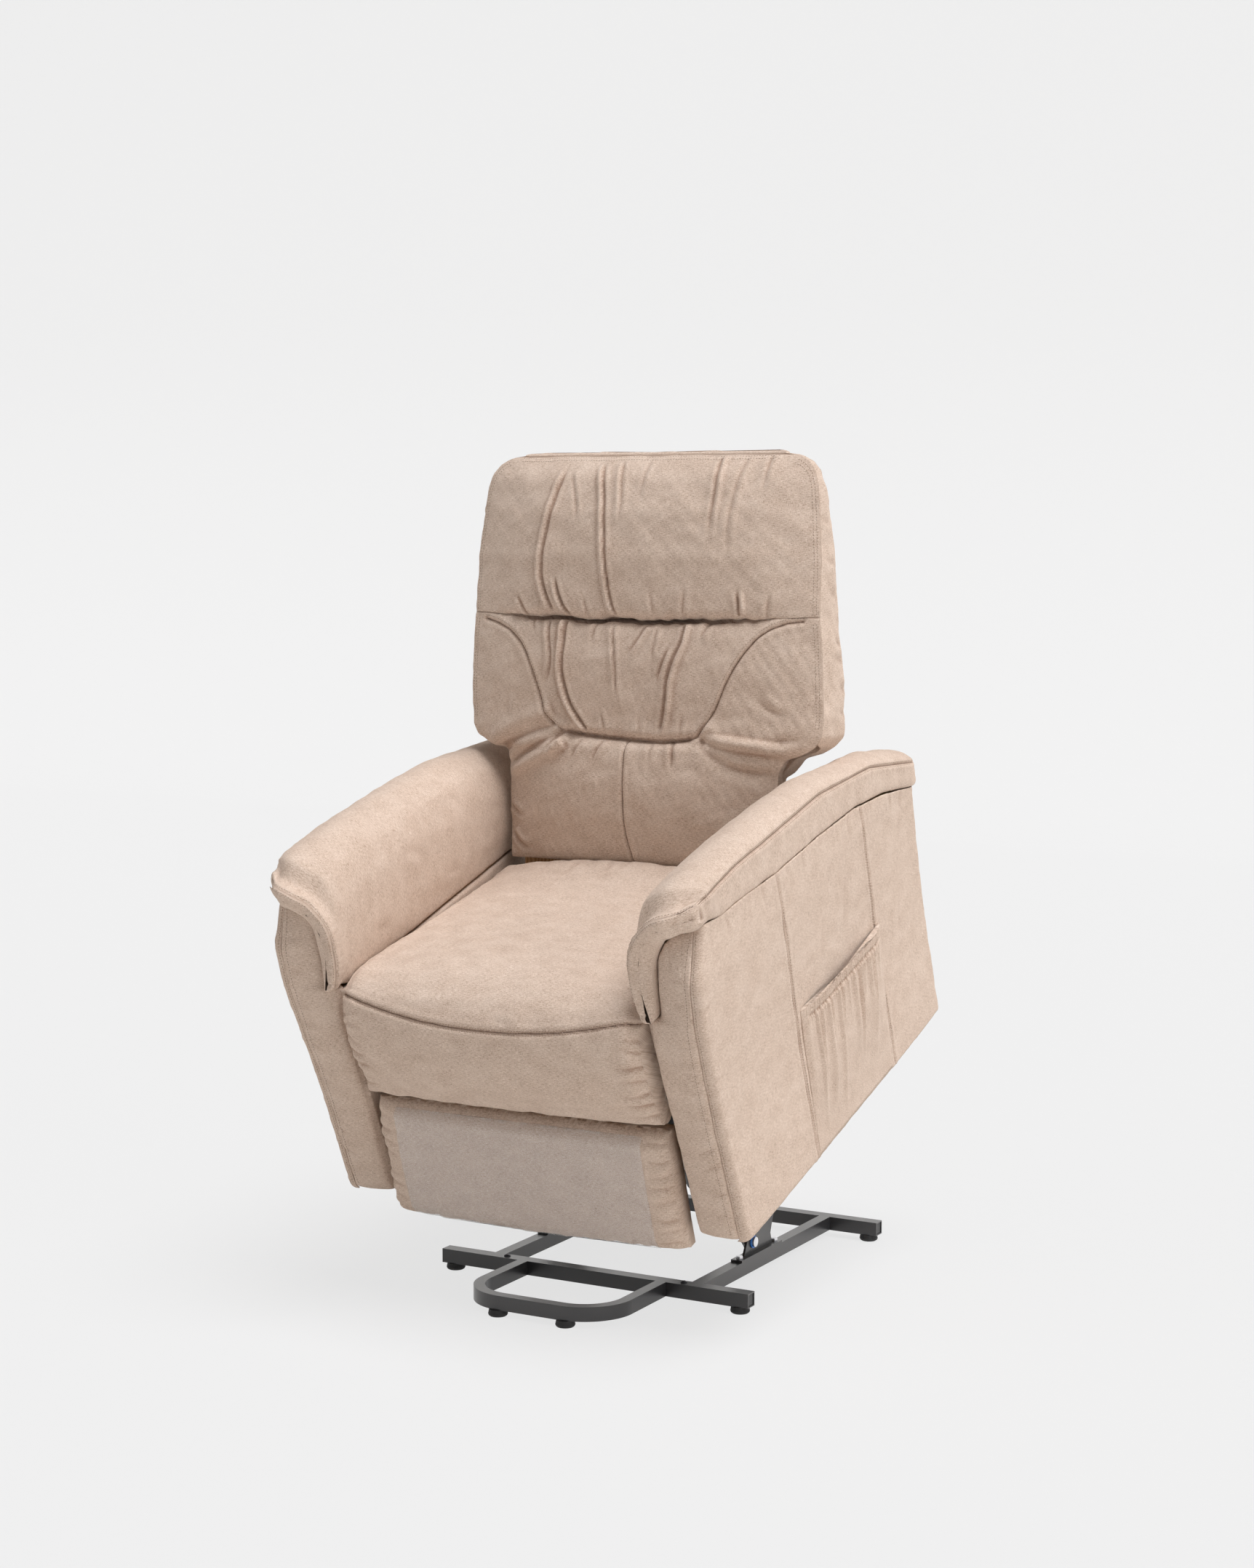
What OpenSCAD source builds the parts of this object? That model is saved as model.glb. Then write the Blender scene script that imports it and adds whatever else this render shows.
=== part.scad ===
// Lift recliner chair, shown with its seat lifted and tilted to help the sitter stand.
// Millimetres. The chair faces -Y, +Z is up, +X is the sitter's left.
// Three local frames are used, each with Y to the rear and Z up:
//   base  - Y is 0 at the front face of the front cross tube, Z is 0 on the floor
//   chair - the seat and arms, raised and tilted by the lift linkage
//   back  - the backrest, leaning in the chair frame

/* [Base frame] */
// Width and height of the square cross tubes
tube_w = 25; // [22:1:30]
// Wall of every steel tube
tube_wall = 2; // [1.5:0.5:3]
// Length of the front cross tube
front_tube_len = 614; // [600:2:660]
// Length of the rear cross tube
rear_tube_len = 611; // [600:2:660]
// Distance from the front face to the rear face of the base, without the loop
base_depth = 566; // [560:2:620]
// Distance of each side rail's centre from the middle
rail_x = 198.75; // [196:0.25:200]
// Width of a side rail
rail_w = 22; // [20:1:24]
// How far the front loop reaches ahead of the front tube
loop_reach = 211; // [180:1:230]
// Outside width of the front loop
loop_w = 298; // [260:2:320]
// Width of the loop's tube
loop_tube_w = 20; // [16:1:24]
// Outside bend radius of the front loop
loop_bend_r = 90; // [60:2:110]
// Height of a rubber foot
foot_h = 12; // [8:1:20]
// Largest radius of a rubber foot
foot_r = 17; // [12:1:20]
// Distance of an outer foot from its tube's end
foot_inset = 21; // [18:1:40]
// Distance of a loop foot from the middle
loop_foot_x = 66; // [40:1:70]

/* [Lift linkage] */
// Tilt of the chair when fully lifted
tilt = 18; // [14:1:20]
// Chair origin behind the front tube when lifted
lifted_y = -161; // [-170:1:-150]
// Chair origin above the floor when lifted
lifted_z = 182; // [175:1:200]
// Height of the front link's pin on the bracket
low_pin_z = 60; // [58:1:64]
// Place of the front link's pin along the rail
low_pin_y = 235; // [228:1:240]
// Height of the rear link's pin on the bracket
high_pin_z = 203; // [190:1:210]
// Place of the rear link's pin along the rail
high_pin_y = 349; // [340:1:356]
// Thickness of the lift links
lift_link_t = 5; // [4:0.5:6]
// Half width of a lift link
lift_link_r = 17; // [14:1:18]
// Thickness of the lift bracket and the chassis plates
plate_t = 4; // [3:0.5:5]
// Radius of the lift pivot pins
lift_pin_r = 6; // [5:0.5:7]
// Distance of the torque tube from the rear link's lower pin
torque_at = 200; // [180:2:220]
// Outside radius of the round cross tubes
round_tube_r = 12; // [10:1:13]

/* [Lift actuator] */
// Sideways place of the lift actuator
lift_act_x = -50; // [-60:1:-40]
// Height of its lower pin
lift_act_z = 62; // [58:1:66]
// Height of the motor along the actuator
motor_len = 120; // [100:2:140]
// Radius of an actuator's outer tube
act_tube_r = 15; // [13:1:16]
// Radius of an actuator's rod
act_rod_r = 9; // [8:0.5:10]
// Radius of an actuator's clevis pins
act_pin_r = 5; // [4:0.5:6]

/* [Footrest linkage] */
// Length of the main footrest link
foot_link_len = 205; // [200:1:208]
// Angle of the main footrest link, folded
foot_link_angle = -69; // [-70:0.5:-68]
// Thickness of the footrest links
foot_link_t = 4; // [3:0.5:4]
// Half width of the footrest links
foot_link_r = 9; // [8:0.5:10]
// Radius of the footrest rivets
rivet_r = 5; // [4:0.5:5]
// Half width of the footrest pad
footrest_half_w = 283; // [260:1:284]
// Half width of the clear sleeve on the footrest
protector_half_w = 238; // [206:1:240]
// Bottom of the footrest pad in the chair frame
footrest_low = -32; // [-36:1:-24]
// Top of the footrest pad in the chair frame
footrest_high = 194; // [180:1:198]
// Radius of the drive crank
crank_r = 60; // [50:1:64]

/* [Seat and arms] */
// Half width of the seat cushion
seat_half_w = 284; // [270:1:286]
// Inner face of each arm
arm_inner = 290; // [288:1:296]
// Outer face of each arm at its foot
arm_outer = 393; // [386:1:400]
// How far the arm pad stands out past the arm's foot
pad_overhang = 14; // [8:1:20]
// Depth of the arm's side panel at its foot
arm_depth = 830; // [800:2:850]
// Underside of the seat frame
seat_frame_z = 262; // [258:1:268]
// Height of the seat frame's rails
seat_rail_h = 38; // [32:1:40]
// Thickness of the timber boards
board_t = 18; // [15:1:20]

/* [Back] */
// Lean of the backrest from upright in the chair frame
recline = 20; // [16:1:24]
// Place of the backrest's foot along the seat
back_y = 500; // [496:1:510]
// Height of the backrest's foot
back_z = 400; // [400:1:410]
// Half width of the back between the arms
back_low_half_w = 268; // [250:1:276]
// Half width of the back above the arms
back_half_w = 355; // [320:1:360]
// Height of the back along its lean
back_len = 742; // [720:2:770]
// Place of the back hinge along the seat
back_pin_y = 640; // [620:2:650]
// Height of the back hinge
back_pin_z = 220; // [215:1:226]

/* [Hidden] */
$fn = 48;

fit = 0.05;          // radial clearance of a pin that turns in its hole
gap = 0.3;           // gap between faces that slide past each other
soft_gap = 1;        // space between upholstered parts
base_front_y = -102; // front tube's front face, so that the origin is under the middle
steel = "#2b2c2e";
zinc = "#b9bcc0";
fabric_tone = "#bda892";
timber = "#c9a877";

// Base levels
tube_top = foot_h + tube_w;
tube_mid_y = tube_w / 2;
rear_tube_y = base_depth - tube_w;
bracket_front = 172;
bracket_flange_end = 335;
bracket_foot_t = 4;
bolt_r = 6;

// Sideways layers, counted outward from the rails
bracket_x = rail_x - 2.75;
front_link_x = bracket_x - 2.5 - lift_link_t;
rear_link_x = bracket_x + plate_t + 3;
side_plate_x = rear_link_x + lift_link_t + 4;
control_x = side_plate_x - 2 - foot_link_t;
swing_x = control_x - 2 - foot_link_t;
main_x = swing_x - 2 - foot_link_t;
leveling_x = main_x - 2 - foot_link_t;

// Lift linkage: pins as [along, up] in the base frame and in the chair frame
low_pin = [low_pin_y, low_pin_z];
high_pin = [high_pin_y, high_pin_z];
chassis_front_pin = [206, 30];
chassis_rear_pin = [300, 120];
lift_top_pin = [400, 220];
lift_bar = [365, 238];
rear_bar = [735, 180];
lift_act_pin = [base_depth - tube_w - 13, lift_act_z];

// Footrest linkage, folded, in the chair frame
main_pin = [108, 190];
control_pin = [123.4, 172];
knee = main_pin + foot_link_len * dir(foot_link_angle);
bracket_pin = [30, 140];
swing_angle = heading(knee, bracket_pin);
control_end = knee - 24 * dir(swing_angle);
leveling_start = main_pin + 0.895 * foot_link_len * dir(foot_link_angle) + 2.3 * dir(foot_link_angle + 90);
leveling_end = [30.3, 168.8];
leveling_play = 3.2;
control_play = 1.3;
front_link_play = 5.6;
crank_pin = main_pin + crank_r * dir(-20);
recline_pin = [700, 180];
recline_x = 70;
lug_gap = 10 + 1.5;
lug_t = 4;
ear_r = 11;

// Footrest board
footrest_board_y = -12;
footrest_front_y = -45;

// Seat
seat_top = seat_frame_z + seat_rail_h;
front_rail_y = 0;
front_rail_low = 215;
rear_rail_y = 730;
rail_thick = 24;
seat_front_low = 214;
seat_rear_y = 503;
cushion_shelf = 397;

// Arm heights along the arm: lower seam of the pad's side strip, upper seam and crest
pad_low_seam = [[-80, 578], [-19, 573], [21, 566], [112, 560], [238, 547], [409, 539], [558, 526],
                [678, 502], [815, 458]];
pad_high_seam = [[-80, 612], [0, 614], [112, 618], [215, 612], [428, 603], [633, 567], [821, 500]];
pad_crest = [[-80, 616], [-40, 630], [0, 640], [100, 642], [234, 638], [343, 631], [456, 620], [520, 606],
             [573, 594], [690, 571], [807, 528], [830, 515]];
// Arm front, leaning forward with its height
arm_front = [[0, -9], [200, -32], [330, -50], [420, -62], [490, -59], [518, -43], [565, -17], [600, -17]];
arm_rear = [[0, arm_depth], [463, arm_depth - 24], [560, arm_depth - 30]];
arm_bulge = [[0, 0], [200, 0], [300, 3], [400, 8], [490, 12], [560, 10]];

function dir(a) = [cos(a), sin(a)];
function heading(p, q) = atan2(q[1] - p[1], q[0] - p[0]);
function mix(a, b, t) = a + (b - a) * t;
function smooth(t) = t * t * (3 - 2 * t);
function to_base(p) = [lifted_y + p[0] * cos(tilt) - p[1] * sin(tilt),
                       lifted_z + p[0] * sin(tilt) + p[1] * cos(tilt)];

module on_base() translate([0, base_front_y, 0]) children();
module on_chair() translate([0, base_front_y + lifted_y, lifted_z]) rotate([tilt, 0, 0]) children();
module on_back() on_chair() translate([0, back_y, back_z]) rotate([-recline, 0, 0]) children();
module right() mirror([1, 0, 0]) children();
module both() {
    children();
    right() children();
}

// Extrudes a side view, drawn as [along, up], across X from x0 to x1
module side(x0, x1) translate([x0, 0, 0]) rotate([90, 0, 90]) linear_extrude(x1 - x0) children();

// Round bar across X
module axle(p, x0, x1, r) translate([x0, p[0], p[1]]) rotate([0, 90, 0]) cylinder(h = x1 - x0, r = r);

// Round tube across X
module tube_across(p, x0, x1, r) difference() {
    axle(p, x0, x1, r);
    axle(p, x0 - 1, x1 + 1, r - tube_wall);
}

// Flat link between two pins, with a hole at each, a little narrower between its round ends
waist = 0.94;
module link(p, q, r, hole_p, hole_q) difference() {
    union() {
        translate(p) circle(r);
        translate(q) circle(r);
        translate(p) rotate(heading(p, q)) translate([0, -waist * r]) square([norm(q - p), 2 * waist * r]);
    }
    translate(p) circle(hole_p);
    translate(q) circle(hole_q);
}

// Square tube along Y or X, open at both ends
module box_tube(size, axis) difference() {
    cube(size);
    translate([for (i = [0:2]) i == axis ? -1 : tube_wall])
        cube([for (i = [0:2]) i == axis ? size[i] + 2 : size[i] - 2 * tube_wall]);
}

// Closed skin over a front grid and a back grid of points with the same rows and columns.
// Seen from outside the front, rows go up and columns go right.
module pillow(front, back) {
    m = len(front);
    n = len(front[0]);
    o = m * n;
    faces = concat(
        [for (i = [0:m - 2]) for (j = [0:n - 2]) let (a = i * n + j)
            each [[a, a + n + 1, a + 1], [a, a + n, a + n + 1],
                  [o + a, o + a + 1, o + a + n + 1], [o + a, o + a + n + 1, o + a + n]]],
        [for (j = [0:n - 2]) let (a = j, b = (m - 1) * n + j)
            each [[a, a + 1, o + a + 1], [a, o + a + 1, o + a],
                  [b + 1, b, o + b], [b + 1, o + b, o + b + 1]]],
        [for (i = [0:m - 2]) let (a = i * n, b = i * n + n - 1)
            each [[a + n, a, o + a], [a + n, o + a, o + a + n],
                  [b, b + n, o + b + n], [b, o + b + n, o + b]]]);
    polyhedron(points = concat([for (r = front) each r], [for (r = back) each r]), faces = faces);
}

// Closed skin through rings of points. Each ring turns clockwise seen from the last ring's side.
// Both ends are closed by the given triangles of point numbers, or else by a fan round the ring's centre.
module loft(rings, end = []) {
    m = len(rings);
    n = len(rings[0]);
    last = (m - 1) * n;
    own = len(end) > 0;
    centres = own ? [] : [centre(rings[0]), centre(rings[m - 1])];
    tris = own ? end : [for (j = [0:n - 1]) [j, (j + 1) % n]];
    faces = concat(
        [for (i = [0:m - 2]) for (j = [0:n - 1]) let (a = i * n + j, b = i * n + (j + 1) % n)
            each [[a, a + n, b], [b, a + n, b + n]]],
        [for (t = tris) own ? t : [m * n, t[0], t[1]]],
        [for (t = tris) own ? [t[0] + last, t[2] + last, t[1] + last]
                            : [m * n + 1, t[1] + last, t[0] + last]]);
    polyhedron(points = concat([for (r = rings) each r], centres), faces = faces);
}
function centre(ring) = [for (k = [0:2]) sum([for (p = ring) p[k]]) / len(ring)];
function sum(v, i = 0) = i == len(v) ? 0 : v[i] + sum(v, i + 1);

// ---------- Base ----------

module front_cross_tube() color(steel) on_base()
    translate([-front_tube_len / 2, 0, foot_h]) box_tube([front_tube_len, tube_w, tube_w], 0);

module rear_cross_tube() color(steel) on_base()
    translate([-rear_tube_len / 2, rear_tube_y, foot_h]) box_tube([rear_tube_len, tube_w, tube_w], 0);

module rail() on_base()
    translate([rail_x - rail_w / 2, tube_w, foot_h]) box_tube([rail_w, rear_tube_y - tube_w, tube_w], 1);
module left_rail() color(steel) rail();
module right_rail() color(steel) right() rail();

// Outline of the bent loop, drawn in toward its centre line by inset
module loop_outline(inset) {
    half = loop_w / 2 - inset;
    r = loop_bend_r - inset;
    bend_x = loop_w / 2 - loop_bend_r;
    bend_y = -loop_reach + loop_bend_r;
    translate([-half, bend_y]) square([2 * half, -bend_y + 1]);
    translate([-bend_x, -loop_reach + inset]) square([2 * bend_x, loop_bend_r]);
    for (s = [-1, 1]) translate([s * bend_x, bend_y]) circle(r);
}
module front_loop() color(steel) on_base() intersection() {
    difference() {
        translate([0, 0, foot_h]) linear_extrude(tube_w) difference() {
            loop_outline(0);
            loop_outline(loop_tube_w);
        }
        translate([0, 0, foot_h + tube_wall]) linear_extrude(tube_w - 2 * tube_wall) difference() {
            loop_outline(tube_wall);
            loop_outline(loop_tube_w - tube_wall);
        }
    }
    translate([-loop_w, -2 * loop_reach, 0]) cube([2 * loop_w, 2 * loop_reach, 2 * tube_top]);
}

// Plastic plugs set a little into the open tube ends
module end_cap(x, y) translate([x, y + tube_wall, foot_h + tube_wall]) {
    plug = tube_w - 2 * tube_wall;
    difference() {
        cube([14, plug, plug]);
        translate([2.5, 2.5, 2.5]) cube([12, plug - 5, plug - 5]);
    }
}
module tube_end_caps() color("#1c1d1f") on_base() both() {
    translate([front_tube_len / 2 - 1.5, 0, 0]) mirror([1, 0, 0]) end_cap(0, 0);
    translate([rear_tube_len / 2 - 1.5, 0, 0]) mirror([1, 0, 0]) end_cap(0, rear_tube_y);
}

module foot() rotate_extrude() polygon([[0, 0], [foot_r - 3, 0], [foot_r - 1, 1.5], [foot_r, 4],
                                        [foot_r - 1.5, foot_h], [0, foot_h]]);
module rubber_feet() color("#202123") on_base() both() {
    translate([front_tube_len / 2 - foot_inset, tube_mid_y, 0]) foot();
    translate([rear_tube_len / 2 - foot_inset, rear_tube_y + tube_w / 2, 0]) foot();
    translate([loop_foot_x, -loop_reach + loop_tube_w / 2, 0]) foot();
}

// Low domed bolt head, standing on z = 0
module dome_bolt(r) {
    cylinder(h = 1.2, r = r);
    translate([0, 0, 1.2]) rotate_extrude() intersection() {
        translate([0, -1.5 * r + 0.45 * r]) circle(1.5 * r);
        square([r * 0.95, r]);
    }
}
module rail_bolts() color("#3a3b3d") on_base() both()
    translate([rail_x - rail_w / 2 - bolt_r - 4, tube_mid_y, tube_top]) dome_bolt(bolt_r);

// Bracket on the rail that carries both lift links
bracket_outline = [[200, tube_top + bracket_foot_t], [218, 74], [218, 100], [333, 216], [349, 223],
                   [369, 206], [366, 190], [340, 140], [313, 79], [306, 60],
                   [313, tube_top + bracket_foot_t]];
module lift_bracket() on_base() {
    difference() {
        side(bracket_x, bracket_x + plate_t) union() {
            polygon(bracket_outline);
            translate(high_pin) circle(20);
            translate(low_pin) circle(18);
        }
        axle(low_pin, 0, 400, lift_pin_r);
        axle(high_pin, 0, 400, lift_pin_r);
        translate([0, 0, tube_top - 50 + bracket_foot_t]) cube([400, 400, 50]);
    }
    difference() {
        translate([rail_x - rail_w / 2, bracket_front, tube_top])
            cube([rail_w, bracket_flange_end - bracket_front, bracket_foot_t]);
        for (y = bracket_bolt_y) translate([rail_x, y, 0]) cylinder(h = 100, r = 4);
    }
}
bracket_bolt_y = [bracket_front + 12, bracket_flange_end - 10];
module left_lift_bracket() color(steel) lift_bracket();
module right_lift_bracket() color(steel) right() lift_bracket();
module bracket_bolts() color(zinc) on_base() both() for (y = bracket_bolt_y)
    translate([rail_x, y, tube_top]) {
        cylinder(h = bracket_foot_t, r = 4);
        translate([0, 0, bracket_foot_t]) cylinder(h = 5, r = 6.5, $fn = 6);
    }

// Shouldered pin through plates, with a head beyond each end
module headed_pin(p, x0, x1, r, head_r, head_t) {
    axle(p, x0 - head_t, x1 + head_t, r);
    axle(p, x0 - head_t, x0, head_r);
    axle(p, x1, x1 + head_t, head_r);
}
module lift_pins() color(zinc) on_base() both() {
    headed_pin(low_pin, front_link_x - gap, bracket_x + plate_t + 2, lift_pin_r, 9, 4);
    headed_pin(high_pin, bracket_x - 2, rear_link_x + lift_link_t + gap, lift_pin_r, 9, 3);
}
// Nylon bushings: a washer outside the low pin's plate, spacers between plates and links
module bushing(p, x0, x1, r) difference() {
    axle(p, x0, x1, r);
    axle(p, x0 - 1, x1 + 1, lift_pin_r);
}
module pivot_bushings() color("#2f6fb5") on_base() both() {
    bushing(low_pin, bracket_x + plate_t, bracket_x + plate_t + 2, 11.5);
    bushing(low_pin, front_link_x + lift_link_t + gap, bracket_x, 11.5);
    bushing(high_pin, bracket_x + plate_t, rear_link_x - gap, 11.5);
    bushing(high_pin, bracket_x - 2, bracket_x, 11.5);
}

// Ears welded to the rear tube, with the pin of the lift actuator
module lift_actuator_clevis() color(steel) on_base() {
    difference() {
        for (s = [-1, 1]) translate([lift_act_x + s * (lug_gap + lug_t / 2), 0, 0])
            side(-lug_t / 2, lug_t / 2) union() {
                translate(lift_act_pin) circle(13);
                polygon([[rear_tube_y, tube_top], [lift_act_pin[0] - 13, lift_act_pin[1]],
                         lift_act_pin + [4, 12], [base_depth - 3, tube_top]]);
            }
        axle(lift_act_pin, lift_act_x - 30, lift_act_x + 30, act_pin_r);
    }
    axle(lift_act_pin, lift_act_x - lug_gap - lug_t - 3, lift_act_x + lug_gap + lug_t + 3, act_pin_r);
}

// ---------- Lift links ----------

chassis_rear_b = to_base(chassis_rear_pin);
chassis_front_b = to_base(chassis_front_pin);
torque_b = high_pin + torque_at * dir(heading(high_pin, chassis_rear_b));
module rear_lift_link() on_base() difference() {
    side(rear_link_x, rear_link_x + lift_link_t)
        link(high_pin, chassis_rear_b, lift_link_r, lift_pin_r + fit, lift_pin_r);
    axle(torque_b, 0, 400, round_tube_r);
}
module left_rear_lift_link() color(steel) rear_lift_link();
module right_rear_lift_link() color(steel) right() rear_lift_link();
module lift_torque_tube() color(steel) on_base()
    tube_across(torque_b, -rear_link_x - lift_link_t, rear_link_x + lift_link_t, round_tube_r);
// Pins fixed in the rear links, on which the chassis plates turn
module chassis_link_pins() color(zinc) on_base() both()
    headed_pin(chassis_rear_b, rear_link_x, side_plate_x + plate_t + gap, lift_pin_r, 10, 2.5);

module front_lift_links() color(steel) on_base() both()
    side(front_link_x, front_link_x + lift_link_t)
        link(low_pin, chassis_front_b, lift_link_r - 1, lift_pin_r + fit, lift_pin_r - 1 + front_link_play);

// ---------- Actuators ----------

// Motor unit along +Y from its lower eye: gearbox, the motor beside it and a socket for the tube
gearbox_y = 30;
gearbox_len = 62;
motor_offset = 43;
module act_motor() {
    difference() {
        union() {
            axle([0, 0], -10, 10, 14);
            translate([-10, 0, -12]) cube([20, gearbox_y, 24]);
        }
        axle([0, 0], -20, 20, act_pin_r + fit);
    }
    difference() {
        union() {
            translate([0, gearbox_y, 0]) rotate([-90, 0, 0]) linear_extrude(gearbox_len) union() {
                circle(26);
                translate([0, motor_offset]) circle(25);
                translate([-24, 0]) square([48, motor_offset]);
            }
            translate([0, gearbox_y + gearbox_len, 0]) rotate([-90, 0, 0])
                cylinder(h = 16, r = act_tube_r + 4);
        }
        translate([0, act_tube_start, 0]) rotate([-90, 0, 0]) cylinder(h = 100, r = act_tube_r);
    }
    translate([0, gearbox_y + gearbox_len, -motor_offset]) rotate([-90, 0, 0])
        cylinder(h = motor_len, r = 22);
    translate([0, gearbox_y + gearbox_len + motor_len, -motor_offset]) rotate([-90, 0, 0])
        cylinder(h = 6, r1 = 22, r2 = 17, $fn = 64);
}
act_tube_start = gearbox_y + gearbox_len - 4;
module act_tube(len) difference() {
    translate([0, act_tube_start, 0]) rotate([-90, 0, 0]) cylinder(h = len - act_tube_start, r = act_tube_r);
    translate([0, act_tube_start + 3, 0]) rotate([-90, 0, 0]) cylinder(h = len, r = act_rod_r + 2 * fit);
}
// Rod from y0 to its eye at y1
module act_rod(y0, y1) difference() {
    union() {
        translate([0, y0, 0]) rotate([-90, 0, 0]) cylinder(h = y1 - y0 - 6, r = act_rod_r);
        axle([y1, 0], -10, 10, 13);
    }
    axle([y1, 0], -20, 20, act_pin_r + fit);
}
// Places an actuator on its lower pin, aimed at its upper pin
module aim(x, p, q) translate([x, p[0], p[1]]) rotate([heading(p, q), 0, 0]) children();

lift_top_b = to_base(lift_top_pin);
lift_act_len = norm(lift_top_b - lift_act_pin);
module lift_motor() color("#1f2022") on_base() aim(lift_act_x, lift_act_pin, lift_top_b) act_motor();
module lift_actuator_tube() color("#3a3b3e") on_base()
    aim(lift_act_x, lift_act_pin, lift_top_b) act_tube(400);
module lift_actuator_rod() color(zinc) on_base()
    aim(lift_act_x, lift_act_pin, lift_top_b) act_rod(245, lift_act_len);

recline_len = norm(crank_pin - recline_pin);
module recline_motor() color("#1f2022") on_chair() aim(recline_x, recline_pin, crank_pin) act_motor();
module recline_actuator_tube() color("#3a3b3e") on_chair()
    aim(recline_x, recline_pin, crank_pin) act_tube(410);
module recline_actuator_rod() color(zinc) on_chair()
    aim(recline_x, recline_pin, crank_pin) act_rod(115, recline_len);

// ---------- Chassis ----------

chassis_outline = [[92, seat_top - 6], [92, 180], [112, 152], [186, 22], [206, 10], [226, 22], [268, 96],
                   [300, 96], [420, 178], [560, 168], [735, 160], [757, 168], [757, seat_frame_z - 1],
                   [rear_rail_y - 1, seat_frame_z - 1], [rear_rail_y - 1, seat_top - 6]];
module side_plate() on_chair() difference() {
    side(side_plate_x, side_plate_x + plate_t) difference() {
        union() {
            polygon(chassis_outline);
            translate(main_pin) circle(17);
            translate(chassis_rear_pin) circle(24);
            translate(chassis_front_pin) circle(20);
            translate(rear_bar) circle(20);
        }
        translate([180, 215]) circle(26);
        translate([250, 190]) circle(30);
        translate([190, 125]) circle(22);
        for (y = [460, 540, 620]) translate([y, 215]) circle(24);
    }
    axle(main_pin, 0, 400, rivet_r);
    axle(control_pin, 0, 400, rivet_r - 1);
    axle(chassis_front_pin, 0, 400, lift_pin_r);
    axle(chassis_rear_pin, 0, 400, lift_pin_r + fit);
}
module left_side_plate() color(steel) side_plate();
module right_side_plate() color(steel) right() side_plate();

// Pair of ears from a cross tube to an actuator's pin
module ears(x, bar, pin) for (s = [-1, 1]) difference() {
    translate([x + s * (lug_gap + lug_t / 2), 0, 0]) side(-lug_t / 2, lug_t / 2) union() {
        translate(bar) circle(round_tube_r + 3);
        translate(bar) rotate(heading(bar, pin)) translate([0, -waist * ear_r])
            square([norm(pin - bar), 2 * waist * ear_r]);
        translate(pin) circle(ear_r);
    }
    axle(bar, -400, 400, round_tube_r);
    axle(pin, -400, 400, act_pin_r);
}
// Stub pins on the ears, ending just short of the eye between them
module stubs(x, pin) for (s = [-1, 1]) translate([x, 0, 0]) mirror([s < 0 ? 1 : 0, 0, 0])
    axle(pin, 10 + gap, lug_gap + lug_t + 3, act_pin_r);

module chassis_cross_tubes() color(steel) on_chair() {
    for (bar = [rear_bar, lift_bar]) tube_across(bar, -side_plate_x, side_plate_x, round_tube_r);
    ears(lift_act_x, lift_bar, lift_top_pin);
    ears(recline_x, rear_bar, recline_pin);
}
module chassis_pins() color(zinc) on_chair() {
    both() {
        // Footrest pins, riveted in the plate
        axle(main_pin, main_x, side_plate_x + plate_t + 3, rivet_r);
        axle(main_pin, side_plate_x + plate_t, side_plate_x + plate_t + 3, 9);
        axle(main_pin, main_x + foot_link_t + gap, side_plate_x, 7);
        axle(main_pin, main_x - gap - 2.5, main_x - gap, 7.5);
        axle(main_pin, main_x - gap - 1, main_x, rivet_r);
        axle(control_pin, control_x - gap - 2, side_plate_x + plate_t + 3, rivet_r - 1);
        axle(control_pin, side_plate_x + plate_t, side_plate_x + plate_t + 3, 7);
        axle(control_pin, control_x + foot_link_t + gap, side_plate_x, 7);
        axle(control_pin, control_x - gap - 2, control_x - gap, 7);
        // Stud of the front lift link
        axle(chassis_front_pin, front_link_x - gap - 3, side_plate_x, lift_pin_r - 1);
        axle(chassis_front_pin, side_plate_x, side_plate_x + plate_t + 3, lift_pin_r);
        axle(chassis_front_pin, side_plate_x + plate_t, side_plate_x + plate_t + 3, 10);
        axle(chassis_front_pin, front_link_x + lift_link_t + gap, side_plate_x, 13);
        axle(chassis_front_pin, front_link_x - gap - 3, front_link_x - gap, 13);
    }
    stubs(lift_act_x, lift_top_pin);
    axle(recline_pin, recline_x - lug_gap - lug_t - 3, recline_x + lug_gap + lug_t + 3, act_pin_r);
}

// ---------- Seat ----------

seat_rail_x = side_plate_x + plate_t;
module seat_side_rails() color(timber) on_chair() both()
    translate([seat_rail_x, front_rail_y + rail_thick, seat_frame_z])
        cube([rail_thick, rear_rail_y - front_rail_y - rail_thick, seat_rail_h]);
arm_board_x = arm_inner + 10;
module seat_cross_rails() color(timber) on_chair() {
    translate([-arm_board_x, front_rail_y, front_rail_low])
        cube([2 * arm_board_x, rail_thick, seat_top - front_rail_low]);
    translate([-arm_board_x, rear_rail_y, seat_frame_z]) cube([2 * arm_board_x, rail_thick, seat_rail_h]);
}
// Elastic straps laid across the frame and stapled to its top
strap_w = 50;
strap_t = 2;
module seat_webbing() color("#4a463f") on_chair() {
    for (x = [-150, -50, 50, 150]) translate([x - strap_w / 2, front_rail_y + 4, seat_top])
        cube([strap_w, rear_rail_y - front_rail_y + rail_thick - 8, strap_t]);
    for (y = [90, 190, 290, 390, 490, 590, 680])
        translate([-seat_rail_x - rail_thick + 4, y - strap_w / 2, seat_top + strap_t])
            cube([2 * (seat_rail_x + rail_thick - 4), strap_w, strap_t]);
}
seat_under = seat_top + 2 * strap_t + soft_gap / 2;

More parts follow.
